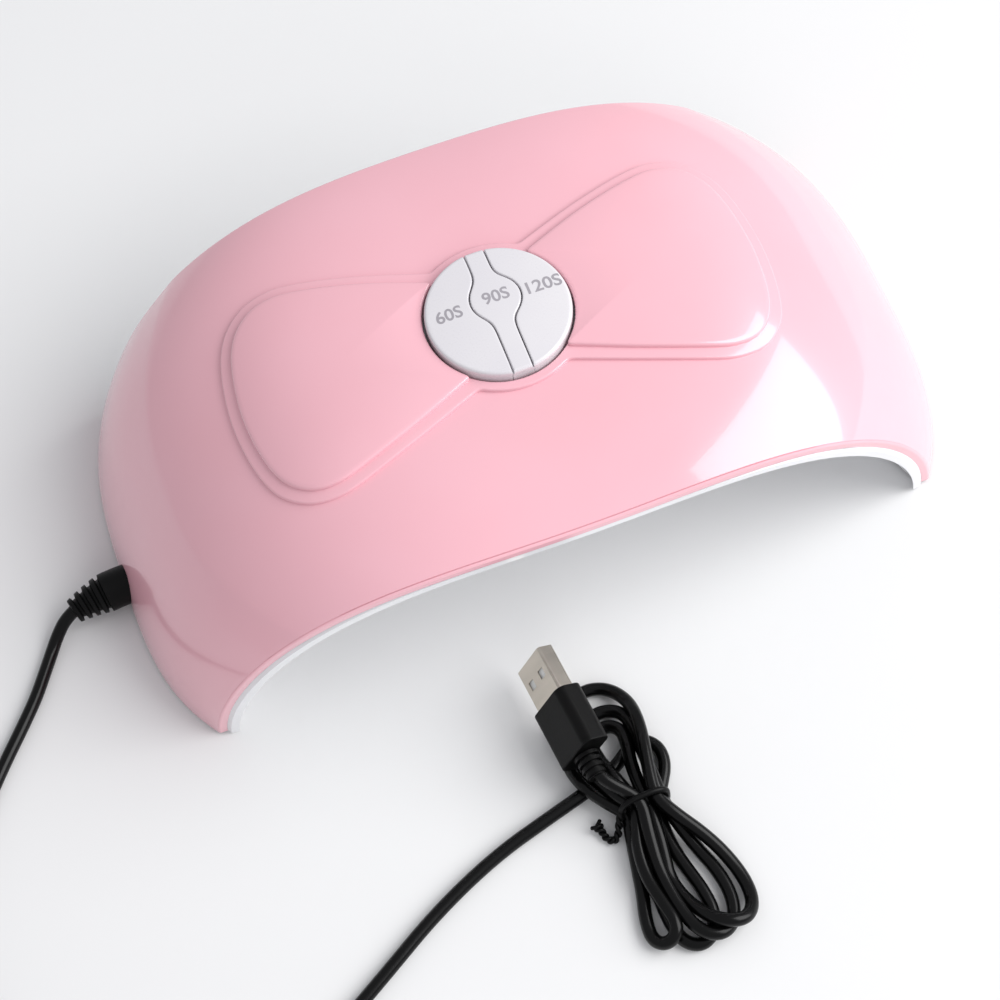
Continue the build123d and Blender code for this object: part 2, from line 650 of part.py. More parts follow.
SOCKET_EDGE = 31 + 2.3
WIRE_Z = CONTROL_TOP + 1.7
for side, place, sites in ((-1, "left", (4.2, 5.8)), (1, "right", (-0.8, 0.8))):
    board_top = shoulder_plane(side, SIDE_BOARD_OFFSET + BOARD)
    start_x, start_z = board_top.origin.X, board_top.origin.Z
    routes = [
        [(start_x, y, start_z + 0.8), (start_x + side * 1.5, y, start_z + 5.5), (side * 58, y, WIRE_Z - 3.0),
         (side * 46, y, WIRE_Z), (side * SOCKET_EDGE, y, WIRE_Z)]
        for y in sites
    ]
    wire(f"led_leads_{place}", routes, 0.6, 2.5)

LEAD_START_X = -88.5
power_routes = [
    [(LEAD_START_X, EXIT_Y + dy, EXIT_Z), (-84.8, EXIT_Y + dy, EXIT_Z),
     (-85.4, -6 + dy, 25), (-77, -6 + dy, 40),
     (-61, -6 + dy, 50.5), (-46, -6 + dy, WIRE_Z), (-SOCKET_EDGE, -6 + dy, WIRE_Z)]
    for dy in (-0.75, 0.75)
]
wire("power_leads", power_routes, 0.6, 1.5)

# ---- the cord's way out: boot, clamp and the jacket's end inside ----
with BuildPart() as boot:
    with BuildSketch(Plane.XZ.offset(-EXIT_Y)):
        with BuildLine():
            Polyline(
                (BOOT_SHOULDER_X + 2.0, EXIT_Z), (BOOT_SHOULDER_X + 2.0, EXIT_Z + BOOT_BIG_RADIUS),
                (BOOT_SHOULDER_X, EXIT_Z + BOOT_BIG_RADIUS),
                (BOOT_SHOULDER_X, EXIT_Z + BOOT_BIG_RADIUS - 1.3),
                (-HALF_WIDTH - 0.4, EXIT_Z + BOOT_BIG_RADIUS - 1.3),
                (-HALF_WIDTH - 0.4, EXIT_Z + BOOT_BIG_RADIUS),
                (-HALF_WIDTH - 1.6, EXIT_Z + BOOT_BIG_RADIUS), (BOOT_END_X, EXIT_Z + BOOT_SMALL_RADIUS),
                (BOOT_END_X, EXIT_Z), close=True)
        make_face()
    revolve(axis=Axis((0, EXIT_Y, EXIT_Z), (1, 0, 0)))
    with BuildSketch(Plane.YZ.offset(BOOT_SHOULDER_X + 2.0)):
        with Locations((EXIT_Y, EXIT_Z)):
            Circle(CORD_RADIUS)
    extrude(amount=-4, mode=Mode.SUBTRACT)
    for step in range(4):
        with BuildSketch(Plane.YZ.offset(-110.2 - 2.5 * step)):
            with Locations((EXIT_Y, EXIT_Z)):
                Circle(BOOT_BIG_RADIUS + 1)
                Circle(BOOT_BIG_RADIUS - 1.0 - 0.42 * step, mode=Mode.SUBTRACT)
        extrude(amount=-1.0, mode=Mode.SUBTRACT)

boot.part.label = "strain_relief"
export_step(boot.part, "parts/strain_relief.step")

with BuildPart() as jacket_end:
    with BuildSketch(Plane.YZ.offset(BOOT_SHOULDER_X - 2.0)):
        with Locations((EXIT_Y, EXIT_Z)):
            Circle(CORD_RADIUS)
    extrude(amount=LEAD_START_X - BOOT_SHOULDER_X + 2.0)

jacket_end.part.label = "cord_inner_end"
export_step(jacket_end.part, "parts/cord_inner_end.step")

CLAMP_BOTTOM = EXIT_Z + CORD_RADIUS
with BuildPart() as clamp:
    with BuildSketch(Plane.XY.offset(CLAMP_BOTTOM)):
        with Locations((-93.5, EXIT_Y)):
            SlotOverall(20, 6, rotation=90)
            with Locations((0, 7), (0, -7)):
                Circle(SMALL_SCREW_RADIUS + 0.1, mode=Mode.SUBTRACT)
    extrude(amount=2.2)

clamp.part.label = "cord_clamp"
export_step(clamp.part, "parts/cord_clamp.step")

CLAMP_TOP = Plane.XY.offset(CLAMP_BOTTOM + 2.2)
pan_screws("cord_clamp_screws", CLAMP_SITES, CLAMP_TOP, SMALL_SCREW_RADIUS, 6, 1.8, 1.2)


# ---- the free cord ----
def corner_radii(route):
    """Each corner's arc is as large as its two runs allow."""
    points = [Vector(*point) for point in route]
    radii = []
    for before, here, after in zip(points, points[1:], points[2:]):
        shorter = min((here - before).length, (after - here).length)
        half_turn = radians((here - before).get_angle(after - here)) / 2
        radii.append(0.45 * shorter / tan(half_turn))
    return radii


cord_radii = corner_radii(CORD_ROUTE)
print("cord arc radii:", [round(radius, 1) for radius in cord_radii])

with BuildPart() as cord:
    with BuildLine():
        cord_path = FilletPolyline(*CORD_ROUTE, radius=cord_radii)
    with BuildSketch(Plane(origin=cord_path @ 0, z_dir=cord_path % 0)):
        Circle(CORD_RADIUS)
    sweep(path=cord_path)

section = pi * CORD_RADIUS ** 2
print("cord tube length:", round(cord_path.length, 1), "volume ratio:",
      round(cord.part.volume / (section * cord_path.length), 4))
cord.part.label = "usb_cord"
export_step(cord.part, "parts/usb_cord.step")

# ---- the tied hank and its tie ----
HANK_OUTLINE = [(-6, -81), (-1, -77.5), (2.4, -83), (3.2, -89), (5.4, -93.5), (4, -100), (1.2, -107),
                (5.6, -116.5), (10.8, -125), (12.1, -133), (9.6, -140), (3, -143.4), (-5.5, -143.4),
                (-12.5, -140.6), (-17, -136.5), (-15.8, -128), (-13.2, -116), (-11.7, -107),
                (-10.4, -99), (-8, -89)]
HANK_LOW_OUTLINE = [(-8.6, -70.5), (-2.4, -71.8), (1.2, -77.5), (0, -85), (-6, -93), (-9.5, -101.5),
                    (-13, -103.6), (-18, -98.6), (-20, -90.5), (-19.5, -82.4), (-15.6, -74.6)]
PLUG_TAIL = PLUG_PLANE.offset(-PLUG_BOOT_LENGTH)

with BuildPart() as hank:
    for outline, height in ((HANK_OUTLINE, HANK_HEIGHT), (HANK_LOW_OUTLINE, HANK_LOW_HEIGHT)):
        with BuildSketch():
            with BuildLine():
                Spline(*outline, periodic=True)
            make_face()
        extrude(amount=height)
    with BuildLine():
        lead = FilletPolyline(PLUG_TAIL.origin, (-11.6, -101.6, 11.4), (-7.4, -106.4, 8.0), radius=4)
    with BuildSketch(Plane(origin=lead @ 0, z_dir=lead % 0)):
        Circle(CORD_RADIUS)
    sweep(path=lead)

hank.part.label = "cord_hank"
export_step(hank.part, "parts/cord_hank.step")

with BuildPart() as tie:
    with BuildSketch(Plane.XZ.offset(-TIE_Y - TIE_WIRE_RADIUS)):
        with Locations(TIE_CENTRE):
            RectangleRounded(*TIE_SIZE, 4.4)
            RectangleRounded(*(size - 4 * TIE_WIRE_RADIUS for size in TIE_SIZE), 2.8, mode=Mode.SUBTRACT)
    extrude(amount=2 * TIE_WIRE_RADIUS)
    with BuildLine():
        tail = FilletPolyline((-11.4, TIE_Y, 7), (-16.4, TIE_Y + 0.6, 5), (-14.8, TIE_Y - 5.2, 2.4), radius=2)
    with BuildSketch(Plane(origin=tail @ 0, z_dir=tail % 0)):
        Circle(TIE_WIRE_RADIUS)
    sweep(path=tail)

tie.part.label = "twist_tie"
export_step(tie.part, "parts/twist_tie.step")

# ---- the USB plug ----
shell_width, shell_thick, shell_length = PLUG_SHELL_SIZE
mould_width, mould_thick, mould_length = PLUG_MOULD_SIZE
POCKET_PLANE = PLUG_PLANE.offset(mould_length - PLUG_TUCK)

with BuildPart() as plug_mould:
    with BuildSketch(PLUG_PLANE):
        RectangleRounded(mould_width, mould_thick, 2.4)
    extrude(amount=mould_length)
    fillet(plug_mould.faces().filter_by(GeomType.PLANE).sort_by(SortBy.AREA)[-1].edges(), 0.3)
    with BuildSketch(PLUG_PLANE):
        Circle(2.2)
    extrude(amount=-PLUG_BOOT_LENGTH)
    for rib in range(4):
        with BuildSketch(PLUG_PLANE.offset(-0.4 - 1.6 * rib)):
            Circle(3.2 - 0.2 * rib)
        extrude(amount=-0.9)
    with BuildSketch(POCKET_PLANE):
        RectangleRounded(shell_width, shell_thick, 0.7)
    extrude(amount=PLUG_TUCK, mode=Mode.SUBTRACT)

plug_mould.part.label = "plug_overmould"
export_step(plug_mould.part, "parts/plug_overmould.step")

with BuildPart() as plug_shell:
    with BuildSketch(POCKET_PLANE):
        RectangleRounded(shell_width, shell_thick, 0.7)
        RectangleRounded(shell_width - 2 * PLUG_WALL, shell_thick - 2 * PLUG_WALL, 0.4, mode=Mode.SUBTRACT)
    extrude(amount=shell_length + PLUG_TUCK)
    with Locations(POCKET_PLANE.offset(PLUG_TUCK + 0.55 * shell_length)):
        for x in (-2.6, 2.6):
            with Locations((x, 0)):
                Box(2.3, 2 * shell_thick, 2.3, mode=Mode.SUBTRACT)

plug_shell.part.label = "plug_shell"
export_step(plug_shell.part, "parts/plug_shell.step")

TONGUE_TOP = -0.1
with BuildPart() as tongue:
    with BuildSketch(POCKET_PLANE):
        with Locations((0, TONGUE_TOP - 0.85)):
            Rectangle(shell_width - 2 * PLUG_WALL - 1.0, 1.7)
    extrude(amount=shell_length + PLUG_TUCK - 0.6)

tongue.part.label = "plug_tongue"
export_step(tongue.part, "parts/plug_tongue.step")

with BuildPart() as contacts:
    with BuildSketch(POCKET_PLANE.offset(PLUG_TUCK + 3)):
        for x in (-3.5, -1.0, 1.0, 3.5):
            with Locations((x, TONGUE_TOP + 0.1)):
                Rectangle(1.0, 0.2)
    extrude(amount=7.4)

contacts.part.label = "plug_contacts"
export_step(contacts.part, "parts/plug_contacts.step")
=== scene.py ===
"""Looks for the bow nail lamp: an arched UV LED lamp with a three-key button and a tied USB lead."""
import math

import bmesh
import bpy
import numpy as np
from mathutils import Matrix, Vector


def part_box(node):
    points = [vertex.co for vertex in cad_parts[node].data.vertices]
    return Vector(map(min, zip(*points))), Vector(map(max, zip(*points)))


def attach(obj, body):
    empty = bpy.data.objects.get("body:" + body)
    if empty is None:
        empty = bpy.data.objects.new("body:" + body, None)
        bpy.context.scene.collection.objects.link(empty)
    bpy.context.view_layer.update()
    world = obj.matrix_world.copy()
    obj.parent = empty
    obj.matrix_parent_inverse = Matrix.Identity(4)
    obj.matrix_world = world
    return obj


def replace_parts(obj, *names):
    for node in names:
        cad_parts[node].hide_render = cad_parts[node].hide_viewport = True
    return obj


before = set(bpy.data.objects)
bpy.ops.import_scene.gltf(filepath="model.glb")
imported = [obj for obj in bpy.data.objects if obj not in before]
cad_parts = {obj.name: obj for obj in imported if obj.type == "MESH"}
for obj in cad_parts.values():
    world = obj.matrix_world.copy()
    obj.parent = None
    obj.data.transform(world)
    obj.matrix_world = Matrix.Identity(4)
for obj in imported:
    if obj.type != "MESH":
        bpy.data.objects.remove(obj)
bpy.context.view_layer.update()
MM = 0.001

# ---- driving sizes, in millimetres ----
FOOT_DROP = 0.8                # the casing stands this far off the desk, on its rubber feet
HALF_WIDTH = 107.0             # the casing at mid depth
RIM_HALF_WIDTH = 95.9          # and at the legs' front and back edges
CROWN = 62.7
RIM_CROWN = 57.4
LEG_DEPTH = 49.5               # from the middle to the casing's edge, at the legs
CROWN_DEPTH = 56.6             # and at the crown
SWELL_POWER = 3.25
FLANK_POWER = 3.36
CROWN_POWER = 1.57
WALL = 2.33                    # reaches the white shell inside
WELL_RADIUS = 18.2             # the round well the keys stand in
COLLAR_RADIUS = 20.5           # the bow's ledge round the well
KEY_RADIUS = 17.6
KEY_RIM_TOP = 66.9
KEY_DOME = 0.7                 # how much the button's middle stands over its rim
KEY_GAP = 0.36                 # width of the slots between the keys
STRIP_HALF = 2.3               # the middle key is a strip with a round lobe
LOBE_RADIUS = 6.0
LOBE_ALLOWANCE = 0.3           # the lobe is this much larger before its corners are eased
LOBE_CENTRE = (0.5, 3.0)
CORD_DIAMETER = 3.3
CORD_RADIUS = CORD_DIAMETER / 2


# ---- camera, lights and world ----
CAMERA_EYE = (-73.2, -279.1, 527.8)
CAMERA_TARGET = (-8.8, -14.4, 0.8)
CAMERA_ROLL = math.radians(-7.2)
CAMERA_LENS = 82.8
WORLD_COLOUR = (0.95, 0.96, 1.0, 1)
WORLD_STRENGTH = 0.54


def look_at(name, data, eye, target, roll=0.0):
    """An object at eye whose -Z axis points at target, both in millimetres."""
    obj = bpy.data.objects.new(name, data)
    bpy.context.scene.collection.objects.link(obj)
    eye, target = Vector(eye) * MM, Vector(target) * MM
    turn = (target - eye).to_track_quat("-Z", "Y").to_matrix().to_4x4()
    obj.matrix_world = Matrix.Translation(eye) @ turn @ Matrix.Rotation(roll, 4, "Z")
    return obj


camera_data = bpy.data.cameras.new("camera")
camera_data.sensor_width = 36.0
camera_data.lens = CAMERA_LENS
camera_data.clip_start = 0.01
bpy.context.scene.camera = look_at("camera", camera_data, CAMERA_EYE, CAMERA_TARGET, CAMERA_ROLL)


def softbox(name, direction, distance, size, power, roll=0.0, target=(0, 0, 30)):
    """A rectangular soft light that faces target from the given direction, turned by roll degrees."""
    data = bpy.data.lights.new(name, "AREA")
    data.shape = "RECTANGLE"
    data.size, data.size_y = size[0] * MM, size[1] * MM
    data.energy = power
    eye = Vector(target) + Vector(direction).normalized() * distance
    return look_at(name, data, eye, target, math.radians(roll))


# the key light stands on its corner, so its reflection on the flank is a triangle
softbox("key_light", (0.72, -0.20, 0.60), 1700, (1450, 1450), 33.0, roll=45)
front_fill = softbox("front_fill", (0.1, -0.9, 0.6), 1000, (800, 500), 1.6)
front_fill.visible_glossy = False

bpy.context.scene.view_settings.view_transform = "Standard"
world = bpy.data.worlds.new("world")
bpy.context.scene.world = world
world.use_nodes = True
background = world.node_tree.nodes["Background"]
background.inputs["Color"].default_value = WORLD_COLOUR
background.inputs["Strength"].default_value = WORLD_STRENGTH


# ---- materials ----
DRIFT_RATIO = 40               # the tone's drift is this much coarser than the grain
DRIFT_FROM, DRIFT_TO = 0.35, 0.65    # the noise values that give the shade and the full colour
SMOOTHEST = 0.02
BUMP_DISTANCE = 0.0001
COAT_ROUGHNESS = 0.04


def new_material(name):
    """A node material and its shader, with the output already linked."""
    material = bpy.data.materials.new(name)
    material.use_nodes = True
    return material, material.node_tree.nodes["Principled BSDF"]


def plastic(name, colour, rough, speckle, scale, bump, coat=0.0, metal=0.0, stretch=(1, 1, 1),
            shade=None, wear=0.06, transmission=0.0, specular=0.5):
    """A moulded or metal surface: its tone drifts slowly from shade to colour, and fine grain varies
    its roughness by speckle and its height by bump."""
    material, shader = new_material(name)
    nodes, links = material.node_tree.nodes, material.node_tree.links
    coords = nodes.new("ShaderNodeTexCoord")
    mapping = nodes.new("ShaderNodeMapping")
    mapping.inputs["Scale"].default_value = stretch
    links.new(coords.outputs["Object"], mapping.inputs["Vector"])
    drift = nodes.new("ShaderNodeTexNoise")
    drift.inputs["Scale"].default_value = scale / DRIFT_RATIO
    drift.inputs["Detail"].default_value = 3
    grain = nodes.new("ShaderNodeTexNoise")
    grain.inputs["Scale"].default_value = scale
    grain.inputs["Detail"].default_value = 4
    for noise in (drift, grain):
        links.new(mapping.outputs["Vector"], noise.inputs["Vector"])
    tone = nodes.new("ShaderNodeMix")
    tone.data_type = "RGBA"
    dark = shade or [channel * (1 - wear) for channel in colour]
    tone.inputs["A"].default_value = (*dark, 1)
    tone.inputs["B"].default_value = (*colour, 1)
    spread = nodes.new("ShaderNodeMapRange")
    spread.inputs["From Min"].default_value = DRIFT_FROM
    spread.inputs["From Max"].default_value = DRIFT_TO
    links.new(drift.outputs["Fac"], spread.inputs["Value"])
    links.new(spread.outputs["Result"], tone.inputs["Factor"])
    links.new(tone.outputs["Result"], shader.inputs["Base Color"])
    finish = nodes.new("ShaderNodeMapRange")
    finish.inputs["To Min"].default_value = max(rough - speckle, SMOOTHEST)
    finish.inputs["To Max"].default_value = rough + speckle
    links.new(grain.outputs["Fac"], finish.inputs["Value"])
    links.new(finish.outputs["Result"], shader.inputs["Roughness"])
    height = nodes.new("ShaderNodeBump")
    height.inputs["Strength"].default_value = bump
    height.inputs["Distance"].default_value = BUMP_DISTANCE
    links.new(grain.outputs["Fac"], height.inputs["Height"])
    links.new(height.outputs["Normal"], shader.inputs["Normal"])
    shader.inputs["Metallic"].default_value = metal
    shader.inputs["Coat Weight"].default_value = coat
    shader.inputs["Coat Roughness"].default_value = COAT_ROUGHNESS
    shader.inputs["Transmission Weight"].default_value = transmission
    shader.inputs["Specular IOR Level"].default_value = specular
    return material


PINK = plastic("pink_gloss", (0.86, 0.465, 0.53), 0.20, 0.02, 1200, 0.015, coat=0.6,
               shade=(0.85, 0.45, 0.512))
WHITE = plastic("white_gloss", (0.86, 0.86, 0.88), 0.25, 0.03, 1000, 0.02, coat=0.3)
PEARL = plastic("pearl_white", (0.73, 0.71, 0.73), 0.28, 0.04, 1500, 0.02, coat=0.4,
                shade=(0.70, 0.68, 0.71))
# the lettering's grey is painted shade, standing in for the shade inside engraved letters
LETTERING_PAINTED_SHADE = plastic("label_painted_shade", (0.36, 0.34, 0.37), 0.45, 0.05, 2000, 0.05)
BLACK_CORD = plastic("cord_black", (0.002, 0.002, 0.002), 0.24, 0.03, 500, 0.015, specular=0.22)
BLACK_PLASTIC = plastic("moulded_black", (0.002, 0.002, 0.002), 0.42, 0.08, 1400, 0.12, specular=0.16)
NICKEL = plastic("nickel", (0.60, 0.55, 0.48), 0.24, 0.05, 2500, 0.03, metal=1.0, stretch=(1, 6, 1),
                 wear=0.1)
FLOOR = plastic("floor_paper", (0.80, 0.80, 0.80), 0.75, 0.05, 300, 0.03, wear=0.01)
SLOT_LOOKS = {
    "pink_shell": PINK,
    "white_shell": WHITE,
    "pearl_key": PEARL,
    "frame_plastic": plastic("frame_plastic", (0.78, 0.77, 0.74), 0.5, 0.06, 1200, 0.06),
    "board": plastic("solder_mask", (0.03, 0.17, 0.08), 0.35, 0.06, 1600, 0.08, shade=(0.02, 0.12, 0.06)),
    "led_board": plastic("white_board", (0.84, 0.85, 0.86), 0.4, 0.05, 1500, 0.05),
    "led": plastic("led_package", (0.88, 0.80, 0.42), 0.4, 0.08, 1800, 0.05),
    "lens": plastic("clear_lens", (0.92, 0.94, 0.99), 0.06, 0.02, 900, 0.01, transmission=0.85),
    "steel": plastic("zinc_steel", (0.56, 0.56, 0.58), 0.32, 0.08, 2200, 0.06, metal=1.0),
    "nickel": NICKEL,
    "gold": plastic("gold_flash", (0.83, 0.60, 0.24), 0.22, 0.05, 2200, 0.03, metal=1.0),
    "rubber": plastic("soft_rubber", (0.05, 0.05, 0.055), 0.75, 0.08, 1100, 0.2),
    "black_plastic": BLACK_PLASTIC,
    "cord_black": BLACK_CORD,
    "chip": plastic("chip_epoxy", (0.03, 0.03, 0.032), 0.55, 0.08, 2200, 0.12),
    "can": plastic("can_sleeve", (0.64, 0.65, 0.68), 0.3, 0.06, 1700, 0.05, metal=0.8),
    "tongue": plastic("tongue_white", (0.84, 0.84, 0.82), 0.35, 0.05, 1300, 0.04),
    "wire": plastic("wire_red", (0.50, 0.03, 0.03), 0.35, 0.05, 1500, 0.05),
}
# each slot's CAD nodes, by name or by the start of their names; the longest match counts
SLOT_NODES = {
    "white_shell": "inner_shell",
    "pearl_key": "key_60s key_90s key_120s",
    "frame_plastic": "key_frame lead_sockets cord_clamp",
    "board": "control_board",
    "led_board": "led_board_",
    "led": "leds_",
    "lens": "led_lenses_",
    "steel": "case_screws key_frame_screws control_board_screws led_board_screws cord_clamp_screws "
             "switch_domes",
    "chip": "switch_bodies controller_chip driver_transistors resistors power_inductor",
    "black_plastic": "switch_plunger_ board_link_header strain_relief twist_tie plug_overmould",
    "can": "capacitors",
    "wire": "led_leads_ power_leads",
    "rubber": "rubber_feet",
    "cord_black": "cord_inner_end usb_cord cord_hank",
    "nickel": "plug_shell",
    "tongue": "plug_tongue",
    "gold": "plug_contacts",
    "pink_shell": "outer_shell",
}
for node, node_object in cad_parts.items():
    fits = {len(start): slot for slot, starts in SLOT_NODES.items() for start in starts.split()
            if node.startswith(start)}
    if not fits:
        raise SystemExit("no material for " + node)
    node_object.data.materials.clear()
    node_object.data.materials.append(SLOT_LOOKS[fits[max(fits)]])


def add_piece(obj, material, body):
    """Gives a piece its material and its CAD body."""
    obj.data.materials.clear()
    obj.data.materials.append(material)
    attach(obj, body)
    return obj


# ---- mesh helpers ----
def clean_mesh(mesh, weld=0):
    """Points the normals outwards, after welding points that lie within weld of each other."""
    shell = bmesh.new()
    shell.from_mesh(mesh)
    if weld:
        bmesh.ops.remove_doubles(shell, verts=shell.verts, dist=weld * MM)
    bmesh.ops.recalc_face_normals(shell, faces=shell.faces)
    shell.to_mesh(mesh)
    shell.free()


def mesh_piece(name, verts, faces, material, body, slot, sharp=40):
    """A smooth-shaded piece from points in millimetres, with its normals pointing outwards."""
    mesh = bpy.data.meshes.new(name)
    mesh.from_pydata([tuple(float(value) * MM for value in vert) for vert in verts], [], faces)
    clean_mesh(mesh)
    mesh.shade_smooth()
    mesh.set_sharp_from_angle(angle=math.radians(sharp))
    obj = bpy.data.objects.new(name, mesh)
    bpy.context.scene.collection.objects.link(obj)
    return add_piece(obj, material, body)


def skin(loops, ring=False, caps=(None, None)):
    """Quads between closed loops. A ring joins the last loop to the first; caps are the centres of the
    fans that close the ends."""
    loops = np.asarray(loops, float)
    count, size = loops.shape[:2]
    verts = [tuple(vert) for vert in loops.reshape(-1, 3)]
    faces = []
    for i in range(count if ring else count - 1):
        a, b = i * size, (i + 1) % count * size
        faces += [(a + k, a + (k + 1) % size, b + (k + 1) % size, b + k) for k in range(size)]
    for centre, first in ((caps[0], 0), (caps[1], (count - 1) * size)):
        if centre is not None:
            verts.append(tuple(centre))
            faces += [(first + k, first + (k + 1) % size, len(verts) - 1) for k in range(size)]
    return verts, faces


def join(verts, faces, more_verts, more_faces):
    """Adds a second mesh to a list of points and faces."""
    faces += [tuple(index + len(verts) for index in face) for face in more_faces]
    verts += more_verts


def smooth_through(points, steps=24):
    """A Catmull-Rom curve through the points."""
    points = np.asarray(points, float)
    ends = [2 * points[0] - points[1], *points, 2 * points[-1] - points[-2]]
    curve = []
    for p0, p1, p2, p3 in zip(ends, ends[1:], ends[2:], ends[3:]):
        for t in np.linspace(0, 1, steps, endpoint=False):
            curve.append(0.5 * (2 * p1 + (p2 - p0) * t + (2 * p0 - 5 * p1 + 4 * p2 - p3) * t ** 2
                                + (3 * p1 - p0 - 3 * p2 + p3) * t ** 3))
    return np.array([*curve, points[-1]])


def run_lengths(line):
    """How far along a line of points each of them lies."""
    return np.concatenate([[0], np.cumsum(np.linalg.norm(np.diff(line, axis=0), axis=1))])


def even_loop(points, count, passes):
    """A closed outline cut into equal steps, with its corners eased by a few smoothing passes."""
    points = np.asarray(points, float)
    closed = np.vstack([points, points[:1]])
    reach = run_lengths(closed)
    steps = np.linspace(0, reach[-1], count, endpoint=False)
    loop = np.stack([np.interp(steps, reach, closed[:, axis]) for axis in (0, 1)], 1)
    for _ in range(passes):
        loop = (np.roll(loop, 1, 0) + 2 * loop + np.roll(loop, -1, 0)) / 4
    return loop


def inset(loop, distance):
    """An outline that runs counterclockwise, moved inwards."""
    along = np.roll(loop, -1, 0) - np.roll(loop, 1, 0)
    along /= np.linalg.norm(along, axis=1)[:, None]
    return loop + distance * np.stack([-along[:, 1], along[:, 0]], 1)


def sweep(path, radii, sides=24, closed=False):
    """Circles of the given radii along a path, with frames carried along it."""
    path = np.asarray(path, float)
    along = np.roll(path, -1, 0) - np.roll(path, 1, 0) if closed else np.gradient(path, axis=0)
    along /= np.linalg.norm(along, axis=1)[:, None]
    across = np.cross(along[0], (0.0, 0.0, 1.0) if abs(along[0][2]) < 0.9 else (1.0, 0.0, 0.0))
    loops = []
    turn = np.linspace(0, 2 * math.pi, sides, endpoint=False)[:, None]
    for point, direction, radius in zip(path, along, radii):
        across = across - direction * np.dot(across, direction)
        across /= np.linalg.norm(across)
        lift = np.cross(direction, across)
        loops.append(point + radius * (np.cos(turn) * across + np.sin(turn) * lift))
    return loops


# ---- casing ----
def swell(y, depth):
    """One at mid depth, falling to nothing at the casing's front and back edges."""
    return 1 - (np.abs(y) / depth) ** SWELL_POWER


def casing_size(y):
    """Half width and crown height of the casing's outer surface at depth y."""
    return (RIM_HALF_WIDTH + (HALF_WIDTH - RIM_HALF_WIDTH) * swell(y, LEG_DEPTH),
            RIM_CROWN + (CROWN - RIM_CROWN) * swell(y, CROWN_DEPTH))


def arch_height(x, half_width, crown):
    """Height of an arch with superelliptic flanks."""
    inside = np.clip(1 - (np.abs(x) / half_width) ** FLANK_POWER, 0, 1)
    return FOOT_DROP + crown * inside ** (1 / CROWN_POWER)


def casing_top(x, y):
    return arch_height(x, *casing_size(y))


def casing_normal(x, y, z):
    """Gradient of the arch's implicit form, made one long."""
    half_width, crown = casing_size(y)
    swell_slope = -SWELL_POWER * np.abs(y) ** (SWELL_POWER - 1) * np.sign(y)
    width_slope = (HALF_WIDTH - RIM_HALF_WIDTH) * swell_slope / LEG_DEPTH ** SWELL_POWER
    crown_slope = (CROWN - RIM_CROWN) * swell_slope / CROWN_DEPTH ** SWELL_POWER
    across = (np.abs(x) / half_width) ** FLANK_POWER
    up = (np.clip(z - FOOT_DROP, 0, None) / crown) ** CROWN_POWER
    gradient = np.stack([
        FLANK_POWER * (np.abs(x) / half_width) ** (FLANK_POWER - 1) * np.sign(x) / half_width,
        -FLANK_POWER * across * width_slope / half_width - CROWN_POWER * up * crown_slope / crown,
        CROWN_POWER * (np.clip(z - FOOT_DROP, 0, None) / crown) ** (CROWN_POWER - 1) / crown], -1)
    return gradient / np.linalg.norm(gradient, axis=-1, keepdims=True)


HOLE = WELL_RADIUS + 0.8       # the casing's own hole, hidden under the bow's ledge
HOLE_STEPS = 14
ARCH_COLUMNS = 92              # from the hole's edge to a foot
ARCH_SAMPLES = 2000
DEPTH_ROWS = 30                # from the hole's edge to the front or back edge
STRAIGHT_AT, EASE_OVER = 1.9, 0.9    # in hole radii: the rows round the hole ease into straight ones
LIP = 1.1                      # radius of the front and back edges, which are square inside
LIP_STEPS = 6
LIP_REST = 0.6                 # the outer surface ends this part of the lip's radius behind the rim
RIM_PROUD = 0.5                # brings the casing's edge flush with the white shell's
CREASE_AT, CREASE_PULL, CREASE_REACH, CREASE_POWER = 88.5, 18.5, 52.0, 2.2
CREASE_DROP, CREASE_WIDTH = 0.45, 7.0
CASING_SHARP = 50


def crease(x, y):
    """How far the flanks lie below the arch beyond the soft fold line."""
    line = CREASE_AT - CREASE_PULL * (np.abs(y) / CREASE_REACH) ** CREASE_POWER
    past = np.clip((np.abs(x) - line) / CREASE_WIDTH, 0, 1)
    return CREASE_DROP * past * (2 - past)


def casing_columns():
    """Column positions at mid depth: even inside the hole, then even along the arch."""
    inner = np.linspace(0, HOLE, HOLE_STEPS + 1)
    x = HOLE + (HALF_WIDTH - HOLE) * np.linspace(0, 1, ARCH_SAMPLES) ** 0.5
    z = casing_top(x, 0 * x)
    reach = np.concatenate([[0], np.cumsum(np.hypot(np.diff(x), np.diff(z)))])
    outer = np.interp(np.linspace(0, reach[-1], ARCH_COLUMNS), reach, x)
    half = np.concatenate([inner, outer[1:]])
    return np.concatenate([-half[:0:-1], half])


def casing_rows():
    """Row positions on the centre line: even inside the hole, closer towards the rims."""
    inner = np.linspace(0, HOLE, HOLE_STEPS + 1)
    outer = HOLE + (CROWN_DEPTH - LIP - HOLE) * np.sin(np.linspace(0, math.pi / 2, DEPTH_ROWS))
    half = np.concatenate([inner, outer[1:]])
    return np.concatenate([-half[:0:-1], half])


